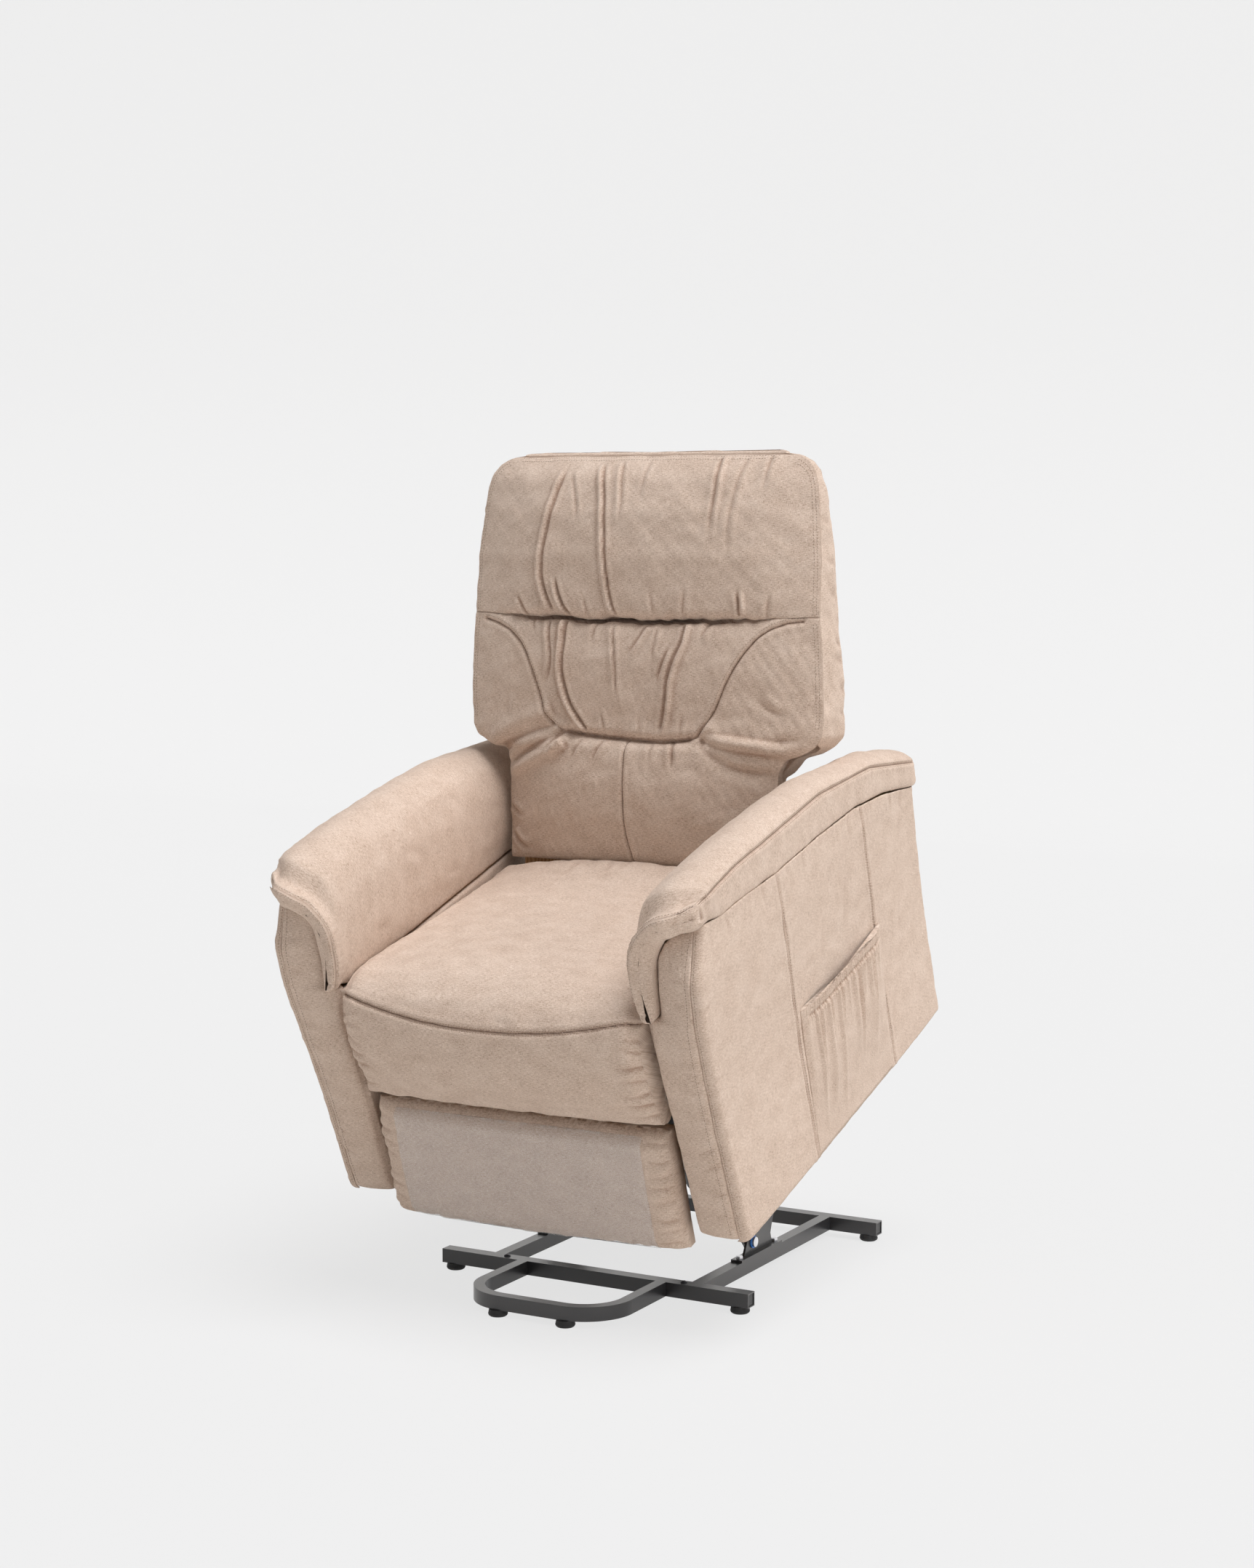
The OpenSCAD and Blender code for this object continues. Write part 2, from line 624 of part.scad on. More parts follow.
// Seat cushion section at crown c, from 0 at the sides to 1 in the middle
function seat_section(c) = [
    [seat_rear_y, seat_under], [seat_rear_y, cushion_shelf - 4], [472, cushion_shelf - 1],
    [463, 408 + 26 * c], [440, 405 + 38 * c], [350, 412 + 26 * c], [250, 420 + 22 * c],
    [156, 428 + 19 * c], [71, 438 + 15 * c], [5, 441 + 12 * c], [-42, 434 + 6 * c],
    [-68 - 8 * c, 414 - 2 * c], [-78 - 13 * c, 375], [-77 - 15 * c, 330], [-66 - 18 * c, 280],
    [-50 - 12 * c, 240], [-34 - 6 * c, seat_front_low + 1 - c], [-8, seat_front_low - 1],
    [front_rail_y - 1.5, seat_front_low + 6], [front_rail_y - 1.5, seat_under]];
seat_end = concat([for (i = [1:12]) [0, i, i + 1]],
                  [[0, 13, 19], [13, 14, 19], [14, 18, 19], [14, 15, 18], [15, 16, 18], [16, 17, 18]]);
module seat_cushion() color(fabric_tone) on_chair()
    loft([for (u = [-1, -0.975, -0.9, -0.7, -0.4, 0, 0.4, 0.7, 0.9, 0.975, 1])
        let (c = 1 - pow(abs(u), 2.2), s = abs(u) == 1 ? 6 : 0)
        [for (p = seat_section(c))
            [u * seat_half_w, p[0] + (p[0] < -10 ? s : 0), p[1] - (p[1] > 400 ? s : 0)]]], seat_end);

// ---------- Arms ----------

function arm_top(y) = lookup(y, pad_low_seam) - 3;
arm_post_x = 370;
// Timber frame of an arm: a board next to the seat, posts and rails out toward the side panel.
// Its front steps back above hook_z, behind the hooked nose of the pad.
hook_z = 412;
pad_nose_y = -73;
frame_nose_y = pad_nose_y + 66;
module arm_side_view() polygon(concat(
    [for (z = [12, 200, 330, hook_z - 8]) [lookup(z, facing_in_y) + facing_depth + 1, z]],
    [[frame_nose_y, hook_z - 4]],
    [for (y = [frame_nose_y + 3, 21, 112, 238, 409, 558, 678, 786]) [y, arm_top(y)]],
    [[lookup(12, arm_rear) - arm_rear_t - 4, 12]]));
module arm_frame() on_chair() {
    side(arm_board_x, arm_board_x + board_t) arm_side_view();
    side(arm_board_x + board_t, arm_post_x) difference() {
        arm_side_view();
        polygon([[30, 56], [30, 470], [540, 450], [700, 420], [765, 370], [785, 56]]);
    }
}
module left_arm_frame() color(timber) arm_frame();
module right_arm_frame() color(timber) right() arm_frame();

// Upholstered side, from the arm's foot to the seam under the pad
panel_t = 9;
panel_puff = 3;
function panel_x(z) = arm_outer + lookup(z, arm_bulge);
function panel_point(u, v, inset) =
    let (top = lookup(mix(lookup(560, arm_front), lookup(560, arm_rear), u), pad_low_seam) - 3.5,
         z = mix(-4, top, v),
         y = mix(lookup(z, arm_front) + 3, lookup(z, arm_rear), u),
         puff = panel_puff * (1 - pow(2 * u - 1, 8)) * (1 - pow(2 * v - 1, 8)))
    [panel_x(z) - panel_t * inset + puff * (1 - inset), y, z];
module arm_outer_panel() on_chair() {
    us = [0, 0.02, 0.07, 0.19, 0.34, 0.54, 0.71, 0.86, 0.98, 1];
    vs = [0, 0.03, 0.2, 0.36, 0.5, 0.65, 0.87, 0.97, 1];
    pillow([for (v = vs) [for (u = us) panel_point(u, v, 0)]],
           [for (v = vs) [for (u = us) panel_point(u, v, 1)]]);
}
// Cloth over the rear of the arm, from the side panel to the seat side
arm_rear_t = 6;
module arm_rear_cover() on_chair()
    side(arm_board_x + 5, arm_outer - panel_t - soft_gap / 2) polygon([[arm_rear[0][1] - arm_rear_t, 0],
        [arm_rear[0][1], 0], [arm_rear[1][1], 440], [arm_rear[1][1] - arm_rear_t, 440]]);
module left_arm_outer_panel() color(fabric_tone) {
    arm_outer_panel();
    arm_rear_cover();
}
module right_arm_outer_panel() color(fabric_tone) right() left_arm_outer_panel();

module arm_inner_panels() color(fabric_tone) on_chair() both()
    side(arm_inner, arm_board_x - 0.3) polygon(concat(
        [for (z = [240, 300, 404]) [lookup(z, arm_front) + facing_depth + 1, z]],
        [[720, 404], [790, 366], [800, 240],
        [rear_rail_y + rail_thick + 3, 240], [rear_rail_y + rail_thick + 3, seat_top + 3],
        [rail_thick + 3, seat_top + 3], [front_rail_y - 3, seat_top + 3], [front_rail_y - 3, 240]]));

// Rounded front of an arm, reaching up behind the pad's nose
facing_x = arm_board_x + 0.5;
facing_depth = 18;
facing_top = pad_low_seam[0][1] - 16;
// Inner edge of the facing: how far out it lies, and how far along, by height
facing_in = [[0, 0], [hook_z, 0], [420, 17], [450, 19], [490, 21], [512, 23], [528, 29], [541, 37],
             [552, 47], [facing_top, 62]];
facing_in_y = [[0, -5], [200, -28], [330, -46], [hook_z, -56], [420, -42], [459, -44], [490, -42],
               [520, -38], [541, -34], [552, -28], [facing_top, -16]];
facing_puff = [[hook_z, 9], [424, 4], [facing_top, 1]];
facing_zs = [2, 8, 60, 130, 200, 270, 330, 380, hook_z, 420, 450, 490, 512, 528, 541, 552, facing_top];
module arm_facing() on_chair() loft([for (z = facing_zs)
    let (yi = lookup(z, facing_in_y), yo = lookup(z, arm_front), xi = facing_x + lookup(z, facing_in),
         xo = panel_x(z), puff = lookup(z, facing_puff),
         rear = min(max(yi, yo) + facing_depth, z > hook_z ? frame_nose_y - 1 : 100),
         tight = z == 2 || z == facing_top ? 2 : 0)
    [for (p = [[xi + 1, rear], [xi, yi + tight],
               [mix(xi, xo, 0.15), mix(yi, yo, 0.15) - 0.7 * puff + tight],
               [mix(xi, xo, 0.5), mix(yi, yo, 0.5) - puff + tight],
               [mix(xi, xo, 0.85), mix(yi, yo, 0.85) - 0.6 * puff + tight], [xo - 2, yo - 0.5 + tight],
               [xo - panel_t - 2.5, yo + 1.5 + tight], [xo - panel_t - 3, rear]])
        [p[0], p[1], z]]]);
module arm_facings() color(fabric_tone) both() arm_facing();

// Padded top of an arm, draped over its inner side. Its nose is an open hook over the facing.
pad_out = arm_outer + pad_overhang;
pad_stations = [[-73, 0.5], [-71.5, 0.72], [-67, 0.9], [-59, 1], [-46, 1], [-34, 1], [-22, 1], [-8, 1],
                [30, 1], [112, 1], [238, 1], [343, 1], [409, 1], [456, 1], [520, 1], [558, 1], [573, 1],
                [633, 1], [678, 1], [720, 1], [760, 1], [800, 0.97], [818, 0.86], [826, 0.6]];
// Nose outline as [from the pad's outer side or the arm's inner face, above the low seam]
nose_outer = [[-7, -7], [-3, 12], [-6, 32], [-25, 30], [-45, 30], [-67, 22], [-89, 5]];
nose_inner = [[9, -16], [-4, -37], [-11, -63], [-11, -98], [-8, -128], [0, -154], [13, -161], [25, -154],
              [28, -108], [32, -66], [44, -37], [64, -16], [89, -7]];
// How far the nose curves back from its foremost line, along its upper seam and along its lower lip
nose_bow = [[278, 13], [311, 12], [335, 0], [355, 0], [370, 7], [381, 22], [392, 36], [404, 52]];
lip_bow = [[290, 18], [303, 22], [315, 25], [320, 25], [324, 30], [332, 28], [347, 18], [365, 12], [380, 30]];
across = [2, 19, 19, 18, 18, 18, 17, 17, 16, 16, 15, 15, 14, 14, 13, 10, 9, 7, 5, 2];
nose_end = [[0, 1, 2], [0, 2, 19], [2, 3, 19], [3, 18, 19], [3, 4, 18], [4, 5, 18], [5, 17, 18], [5, 6, 17],
            [6, 7, 17], [7, 16, 17], [7, 8, 16], [8, 9, 16], [9, 15, 16], [9, 10, 15], [10, 11, 15],
            [11, 14, 15], [11, 12, 14], [12, 13, 14]];
function pad_section(y) =
    let (low = lookup(y, pad_low_seam), high = lookup(y, pad_high_seam), top = lookup(y, pad_crest),
         drape = lookup(y, [[560, 0], [700, 1]]), foot = mix(hook_z, low - 68, drape),
         board = arm_board_x - 1.5,
         hook = smooth(min(1, max(0, (-22 - y) / 26))),
         body = [[pad_out - 2, low], [pad_out + 1, (low + high) / 2], [pad_out - 1, high],
                 [pad_out - 9, mix(high, top, 0.6)], [pad_out - 30, top - 1], [pad_out - 56, top - 1],
                 [pad_out - 80, top - 12], [arm_inner + 14, top - 30], [arm_inner + 1, top - 58],
                 [arm_inner - 7, top - 92], [arm_inner - 9, (top - 92 + foot) / 2],
                 [arm_inner - 5, foot + 26], [arm_inner - 1, foot + 6], [arm_inner + 6, foot],
                 [board, foot + 6], [board, foot + 40],
                 [board, low - 2.5], [board + 9.5, low - 1], [board + 42, low], [pad_out - 22, low]],
         base = pad_low_seam[0][1],
         nose = concat([for (p = nose_outer) [pad_out + p[0], base + p[1]]],
                       [for (p = nose_inner) [arm_inner + p[0], base + p[1]]]))
    [for (i = [0:19]) mix(body[i], nose[i], hook)];
function pad_ring(y, s) =
    let (section = pad_section(y), nose = y < 0, c = [345, (section[0][1] + section[4][1]) / 2],
         bow = min(1, max(0, (40 - y) / (40 - pad_nose_y))))
    [for (i = [0:19]) let (m = nose ? (section[i] + section[across[i]]) / 2 : c, p = mix(m, section[i], s))
        [p[0], y + bow * lookup(section[i][0], i > 11 ? lip_bow : nose_bow), p[1]]];
module arm_pad() on_chair() loft([for (st = pad_stations) pad_ring(st[0], st[1])], nose_end);
module left_arm_pad() color(fabric_tone) arm_pad();
module right_arm_pad() color(fabric_tone) right() arm_pad();

// Pocket on the sitter's left, gathered under an elastic hem and open at the top
pocket_y = [264, 598];
pocket_z = [6, 281];
pocket_depth = 13;
pocket_t = 2.5;
pocket_folds = 11;
function pocket_point(u, v, inset) =
    let (side_w = 1 - pow(abs(2 * u - 1), 6), rise = smooth(min(1, v * 1.6)),
         fold = 1.6 * sin(360 * pocket_folds * u) * pow(v, 0.6) * side_w,
         hem = v > 0.9 ? -1.5 : 0)
    [panel_x(mix(pocket_z[0], pocket_z[1], v)) + panel_puff + gap + pocket_t * (1 - inset)
     + pocket_depth * rise * side_w + fold + hem * side_w,
     mix(pocket_y[0], pocket_y[1], u) + mix(10, 0, v) * (1 - 2 * u), mix(pocket_z[0], pocket_z[1], v)];
module side_pocket() color(fabric_tone) on_chair() {
    us = [for (i = [0:4 * pocket_folds]) i / (4 * pocket_folds)];
    vs = [0, 0.15, 0.4, 0.7, 0.92, 1];
    pillow([for (v = vs) [for (u = us) pocket_point(u, v, 0)]],
           [for (v = vs) [for (u = us) pocket_point(u, v, 1)]]);
}

// Power and control box under the rear rail of the seat, with its two sockets
box_size = [104, 130, 38];
box_x = -190;
box_rear = rear_rail_y + rail_thick;
socket_x = [30, 74];
module at_socket(x) translate([box_x + x, box_rear, seat_frame_z - box_size[2] / 2])
    rotate([90, 0, 0]) children();
module control_box() color("#232427") on_chair() difference() {
    translate([box_x, box_rear - box_size[1], seat_frame_z - box_size[2]]) cube(box_size);
    for (x = socket_x) at_socket(x) translate([0, 0, -1]) cylinder(h = 13, r = 9);
}
module control_sockets() color("#0f1011") on_chair() for (x = socket_x) at_socket(x) difference() {
    translate([0, 0, 1]) cylinder(h = 11, r = 9);
    cylinder(h = 9, r = 6.5);
}

// ---------- Back ----------

hinge_plate_x = seat_rail_x + rail_thick;
bracket_in_x = hinge_plate_x + plate_t + 2;
back_pin = [back_pin_y, back_pin_z];
module back_hinge_plates() color(steel) on_chair() both() {
    side(hinge_plate_x, hinge_plate_x + plate_t) difference() {
        union() {
            translate(back_pin) circle(16);
            polygon([[back_pin_y - 16, back_pin_z], [back_pin_y + 16, back_pin_z],
                     [back_pin_y + 45, seat_top - 4], [back_pin_y - 45, seat_top - 4]]);
        }
        translate(back_pin) circle(lift_pin_r);
    }
    headed_pin(back_pin, hinge_plate_x, bracket_in_x + plate_t + gap, lift_pin_r, 10, 2.5);
}
function to_back(p) = let (d = [p[0] - back_y, p[1] - back_z])
    [d[0] * cos(recline) - d[1] * sin(recline), d[0] * sin(recline) + d[1] * cos(recline)];
back_pin_local = to_back(back_pin);
back_board_y = 11;
back_board_t = 16;
module back_brackets() color(steel) on_back() both() {
    side(bracket_in_x, bracket_in_x + plate_t) difference() {
        union() {
            translate(back_pin_local) circle(16);
            polygon([back_pin_local + [-16, -2], back_pin_local + [15, 6], [back_board_y + 70, 40],
                     [back_board_y + back_board_t, 190], [back_board_y + back_board_t, -6],
                     [back_board_y + 40, -30]]);
        }
        translate(back_pin_local) circle(lift_pin_r + fit);
    }
}

// Half width, seam, crown and rear face of the back by height
back_width = [[-60, back_low_half_w - 4], [200, back_low_half_w + 2], [236, back_low_half_w + 16],
              [250, back_half_w - 14], [268, back_half_w - 2], [320, back_half_w], [400, back_half_w - 3],
              [458, back_half_w - 8], [560, back_half_w - 10], [back_len - 102, back_half_w - 18],
              [back_len - 52, back_half_w - 32], [back_len - 27, back_half_w - 52],
              [back_len - 12, back_half_w - 78], [back_len - 4, back_half_w - 112],
              [back_len, back_half_w - 150]];
back_seam = [[0, -12], [274, -14], [455, -21], [600, -12], [back_len - 42, -4], [back_len, 6]];
back_centre = [[14, -34], [35, -42], [100, -66], [164, -76], [210, -66], [236, -44], [238, -44], [260, -54],
               [300, -66], [380, -72], [440, -62], [454, -46], [457, -46], [470, -56], [500, -68],
               [560, -76], [back_len - 102, -68], [back_len - 42, -46], [back_len - 12, -22],
               [back_len, -2]];
// Rows of the rounded top, counted down from the back's end
head_rows = [for (d = [102, 52, 27, 12, 4, 0]) back_len - d];
outside_low_half_w = bracket_in_x - 5;
outside_width = concat([[-60, outside_low_half_w], [198, outside_low_half_w]],
                       [for (w = back_width) if (w[0] > 220) w]);
back_rear = [[-60, 92], [270, 90], [345, 85], [590, 52], [back_len - 52, 38], [back_len - 7, 31],
             [back_len, 30]];
back_fronts = [-1, -0.97, -0.9, -0.75, -0.5, -0.25, 0, 0.25, 0.5, 0.75, 0.9, 0.97, 1];
cushion_back = back_board_y + back_board_t;
function back_front(u, z) = let (seam = lookup(z, back_seam), mid = lookup(z, back_centre))
    [u * lookup(z, back_width), seam + (mid - seam) * (1 - pow(abs(u), 2.6)), z];
function back_under(u, z, rim) =
    let (on_rim = abs(u) > 0.8 * rim || z > head_rows[2])
    [u * lookup(z, back_width), on_rim ? cushion_back : back_board_y - 0.5, z];
module back_cushion(zs, rim) on_back()
    pillow([for (z = zs) [for (u = back_fronts) back_front(u, z)]],
           [for (z = zs) [for (u = back_fronts) back_under(u, z, rim)]]);
module headrest_cushion() color(fabric_tone)
    back_cushion(concat([456.5, 470, 500, 560], head_rows), 1);
module lumbar_cushion() color(fabric_tone)
    back_cushion([240, 250, 268, 300, 350, 400, 440, 455.5], 1);
module lower_back_cushion() color(fabric_tone)
    back_cushion([14, 35, 70, 100, 135, 164, 190, 215, low_top], 9);
low_top = 239;
board_zs = [0, 200, 236, low_top - 1, low_top + 0.5, 250, 268, 400, back_len - 102, back_len - 42];
module back_board() color(timber) on_back() translate([0, back_board_y, 0])
    rotate([-90, 0, 0]) mirror([0, 1, 0]) linear_extrude(back_board_t)
        polygon([for (s = [1, -1]) each let (n = len(board_zs))
            [for (i = [0:n - 1]) let (z = board_zs[s > 0 ? i : n - 1 - i])
                [s * (z < low_top ? lookup(z, back_width) - 14 : 0.7 * lookup(z, back_width)), z]]]);
module outside_back() color(fabric_tone) on_back() {
    zs = concat([-50, -30, 100, 200, 236, 250, 268, 345, 500], head_rows);
    us = [-1, -0.97, -0.85, -0.4, 0, 0.4, 0.85, 0.97, 1];
    pillow([for (z = zs) [for (u = us) [u * (lookup(z, outside_width) - 0.5), cushion_back + 0.3, z]]],
           [for (z = zs) [for (u = us) [u * (lookup(z, outside_width) - 0.5),
               max(lookup(z, back_rear) - (abs(u) == 1 ? 10 : 0) - (z == -50 ? 4 : 0),
                   cushion_back + 3), z]]]);
}

// ---------- Footrest ----------

module footrest_main_links() color(steel) on_chair() both() {
    side(main_x, main_x + foot_link_t) difference() {
        link(main_pin, knee, foot_link_r + 2, rivet_r + fit, rivet_r);
        translate(leveling_start) circle(rivet_r - 1);
    }
    // Knee rivet and the rivet of the leveling link
    axle(knee, main_x - 1.7, swing_x + foot_link_t + gap + 1.4, rivet_r);
    axle(knee, main_x - 1.7, main_x, 8);
    axle(knee, swing_x + foot_link_t + gap, swing_x + foot_link_t + gap + 1.4, 8);
    axle(leveling_start, leveling_x - gap - 2, main_x + foot_link_t + 1.5, rivet_r - 1);
    axle(leveling_start, main_x + foot_link_t, main_x + foot_link_t + 1.5, 6.5);
    axle(leveling_start, leveling_x - gap - 2, leveling_x - gap, 6.5);
}
module footrest_drive() color(steel) on_chair() {
    tube_across(main_pin, -main_x, main_x, round_tube_r - 1);
    drive_ears();
}
module drive_ears() for (s = [-1, 1]) difference() {
    translate([recline_x + s * (lug_gap + lug_t / 2), 0, 0]) side(-lug_t / 2, lug_t / 2) union() {
        translate(main_pin) circle(round_tube_r + 5);
        translate(main_pin) rotate(heading(main_pin, crank_pin)) translate([0, -waist * ear_r])
            square([crank_r, 2 * waist * ear_r]);
        translate(crank_pin) circle(ear_r);
    }
    axle(main_pin, -400, 400, round_tube_r - 1);
}
module footrest_swing_links() color(steel) on_chair() both() {
    side(swing_x, swing_x + foot_link_t) difference() {
        link(control_end, bracket_pin, foot_link_r, rivet_r - 1, rivet_r + fit);
        translate(knee) circle(rivet_r + fit);
    }
    axle(control_end, swing_x - 1.5, control_x + foot_link_t + gap + 1.4, rivet_r - 1);
    axle(control_end, swing_x - 1.5, swing_x, 6.5);
    axle(control_end, control_x + foot_link_t + gap, control_x + foot_link_t + gap + 1.4, 8);
}
module footrest_control_links() color(steel) on_chair() both()
    side(control_x, control_x + foot_link_t)
        link(control_pin, control_end, foot_link_r - 1, rivet_r - 1 + fit, rivet_r - 1 + control_play);
module footrest_leveling_links() color(steel) on_chair() both()
    side(leveling_x, leveling_x + foot_link_t) union() {
        link(leveling_start, leveling_end, foot_link_r - 1, rivet_r - 1 + fit, rivet_r - 1 + leveling_play);
        difference() {
            translate(leveling_end) circle(12);
            translate(leveling_end) circle(rivet_r - 1 + leveling_play);
        }
    }
board_rear_y = footrest_board_y + board_t;
module footrest_brackets() color(steel) on_chair() both() {
    side(main_x, main_x + foot_link_t) difference() {
        polygon([[board_rear_y, 96], [board_rear_y + 14, 96], [46, 130], [44, 180], [34, 186],
                 [board_rear_y, 186]]);
        translate(bracket_pin) circle(rivet_r);
        translate(leveling_end) circle(rivet_r - 1);
    }
    translate([main_x - 22, board_rear_y, 96]) cube([22, 3, 90]);
    axle(bracket_pin, main_x - 1.7, swing_x + foot_link_t + gap + 1.4, rivet_r);
    axle(bracket_pin, main_x - 1.7, main_x, 8);
    axle(bracket_pin, swing_x + foot_link_t + gap, swing_x + foot_link_t + gap + 1.4, 8);
    axle(leveling_end, leveling_x - gap - 2, main_x + foot_link_t + 1.5, rivet_r - 1);
    axle(leveling_end, main_x + foot_link_t, main_x + foot_link_t + 1.5, 6.5);
    axle(leveling_end, leveling_x - gap - 2, leveling_x - gap, 9);
}
module footrest_board() color(timber) on_chair()
    translate([10 - footrest_half_w, footrest_board_y, footrest_low + 10])
        cube([2 * footrest_half_w - 20, board_t, footrest_high - footrest_low - 16]);
// Padding over the board's front, returned over its edges
sleeve_u = protector_half_w / footrest_half_w;
footrest_u = [-1, -0.985, -0.94, -sleeve_u, -0.7, -0.35, 0, 0.35, 0.7, sleeve_u, 0.94, 0.985, 1];
function footrest_front(u, v) = let (z = mix(footrest_low, footrest_high, v) + (v < 0.5 ? 6 : 0) * abs(u))
    [u * footrest_half_w,
     mix(footrest_board_y + 2, footrest_front_y, (1 - pow(abs(u), 14)) * (1 - pow(abs(2 * v - 1), 5)))
     - (v > 0.1 && v < 0.9 ? 3 * (1 - u * u) : 0), z];
module footrest_pad() color(fabric_tone) on_chair() {
    vs = [0, 0.015, 0.05, 0.15, 0.35, 0.6, 0.85, 0.95, 0.985, 1];
    difference() {
        pillow([for (v = vs) [for (u = footrest_u) footrest_front(u, v)]],
               [for (v = vs) [for (u = footrest_u) [footrest_front(u, v)[0], board_rear_y,
                                                    footrest_front(u, v)[2]]]]);
        translate([9.5 - footrest_half_w, footrest_board_y - 0.4, footrest_low + 9.5])
            cube([2 * footrest_half_w - 19, 100, footrest_high - footrest_low - 15]);
    }
}
// Clear vinyl sleeve over the front of the pad
protector_t = 1;
module footrest_protector() color([0.8, 0.85, 0.9, 0.4]) on_chair() {
    us = [-sleeve_u, -0.7, -0.35, 0, 0.35, 0.7, sleeve_u];
    vs = [0.05, 0.15, 0.35, 0.6, 0.85, 0.95];
    pillow([for (v = vs) [for (u = us) footrest_front(u, v) - [0, gap + protector_t, 0]]],
           [for (v = vs) [for (u = us) footrest_front(u, v) - [0, gap, 0]]]);
}

front_cross_tube();
rear_cross_tube();
left_rail();
right_rail();
front_loop();
tube_end_caps();
rubber_feet();
rail_bolts();
left_lift_bracket();
right_lift_bracket();
bracket_bolts();
lift_pins();
pivot_bushings();
lift_actuator_clevis();
left_rear_lift_link();
right_rear_lift_link();
lift_torque_tube();
chassis_link_pins();
front_lift_links();
lift_motor();
lift_actuator_tube();
lift_actuator_rod();
left_side_plate();
right_side_plate();
chassis_cross_tubes();
chassis_pins();
seat_side_rails();
seat_cross_rails();
seat_webbing();
seat_cushion();
left_arm_frame();
right_arm_frame();
left_arm_outer_panel();
right_arm_outer_panel();
arm_inner_panels();
arm_facings();
left_arm_pad();
right_arm_pad();
side_pocket();
control_box();
control_sockets();
back_hinge_plates();
back_brackets();
back_board();
outside_back();
headrest_cushion();
lumbar_cushion();
lower_back_cushion();
footrest_drive();
footrest_main_links();
footrest_swing_links();
footrest_control_links();
footrest_leveling_links();
footrest_brackets();
footrest_board();
footrest_pad();
footrest_protector();
recline_motor();
recline_actuator_tube();
recline_actuator_rod();
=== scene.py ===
# Looks of the lift recliner chair: upholstery, stitching, materials, light and camera.
# Soft pieces are worked out in millimetres in the chair's own frames, then placed in metres.
import math
import bmesh
import bpy
import numpy as np
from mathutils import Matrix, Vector


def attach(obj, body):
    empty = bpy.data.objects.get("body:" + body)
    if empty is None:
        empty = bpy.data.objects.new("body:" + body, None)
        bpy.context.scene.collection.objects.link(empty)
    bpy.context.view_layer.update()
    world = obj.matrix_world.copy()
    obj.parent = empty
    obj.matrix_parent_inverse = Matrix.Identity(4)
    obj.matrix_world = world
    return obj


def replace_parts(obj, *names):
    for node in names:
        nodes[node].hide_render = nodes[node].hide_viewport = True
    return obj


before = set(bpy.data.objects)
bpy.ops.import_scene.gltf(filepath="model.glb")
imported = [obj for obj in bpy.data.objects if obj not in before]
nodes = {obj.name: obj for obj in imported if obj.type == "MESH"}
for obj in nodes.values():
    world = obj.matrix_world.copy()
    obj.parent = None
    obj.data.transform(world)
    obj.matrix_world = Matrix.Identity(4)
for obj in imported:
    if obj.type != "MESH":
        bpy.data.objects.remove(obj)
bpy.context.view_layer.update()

TILT, LEAN = math.radians(18), math.radians(20)
BASE_Y, LIFT_Y, LIFT_Z = -102.0, -161.0, 182.0
BACK_Y, BACK_Z = 500.0, 400.0
STEP = 3.4      # spacing of the cloth grids
FINE = 2.4      # and on the front of the back, whose folds are sharp


# ---------- Frames ----------

def chair(p):
    """World place in metres of points in the seat's frame."""
    p = np.asarray(p, float)
    y, z = p[..., 1], p[..., 2]
    return np.stack([p[..., 0], BASE_Y + LIFT_Y + y * math.cos(TILT) - z * math.sin(TILT),
                     LIFT_Z + y * math.sin(TILT) + z * math.cos(TILT)], -1) / 1000


def back(p):
    """World place in metres of points in the back's frame."""
    p = np.asarray(p, float)
    y, z = p[..., 1], p[..., 2]
    return chair(np.stack([p[..., 0], BACK_Y + y * math.cos(LEAN) + z * math.sin(LEAN),
                           BACK_Z - y * math.sin(LEAN) + z * math.cos(LEAN)], -1))


# ---------- Small maths ----------

def table(pairs, at, soft=0.0):
    """Linear table, rounded off over soft millimetres."""
    t = np.array(pairs, float)
    at = np.asarray(at, float)
    if not soft:
        return np.interp(at, t[:, 0], t[:, 1])
    ks = np.linspace(-1, 1, 9)
    w = (1 - ks ** 2) / np.sum(1 - ks ** 2)
    lo, hi = t[0, 0], t[-1, 0]
    room = np.clip(np.minimum(at - lo, hi - at), 0, soft)
    return sum(wk * np.interp(at + k * room, t[:, 0], t[:, 1]) for k, wk in zip(ks, w))


def index_of(x, grid):
    """Fractional index of x in a rising row of numbers."""
    return np.interp(x, grid, np.arange(len(grid)))


def smooth(t):
    """Eased step from 0 to 1."""
    t = np.clip(t, 0, 1)
    return t * t * (3 - 2 * t)


def curve(points, per, closed=False):
    """Catmull-Rom curve through points, with per steps to each span."""
    p = np.array(points, float)
    n = len(p)
    out = []
    for i in range(n if closed else n - 1):
        if closed:
            a, b, c, d = p[i - 1], p[i], p[(i + 1) % n], p[(i + 2) % n]
        else:
            a, b, c, d = p[max(i - 1, 0)], p[i], p[i + 1], p[min(i + 2, n - 1)]
        k = per[i] if hasattr(per, "__len__") else per
        for s in np.arange(k) / k:
            out.append(0.5 * (2 * b + (c - a) * s + (2 * a - 5 * b + 4 * c - d) * s * s
                              + (3 * b - a - 3 * c + d) * s ** 3))
    if not closed:
        out.append(p[-1])
    return np.array(out)


def waves(points, size, seed, terms=14):
    """Seeded smooth random field of about unit height, with features of about size."""
    rng = np.random.default_rng(seed)
    total = np.zeros(points.shape[:-1])
    for _ in range(terms):
        k = rng.normal(size=points.shape[-1])
        k *= (2 * math.pi / size) * rng.uniform(0.55, 1.5) / np.linalg.norm(k)
        total += np.cos(points @ k + rng.uniform(0, 2 * math.pi))
    return total / math.sqrt(terms / 2)


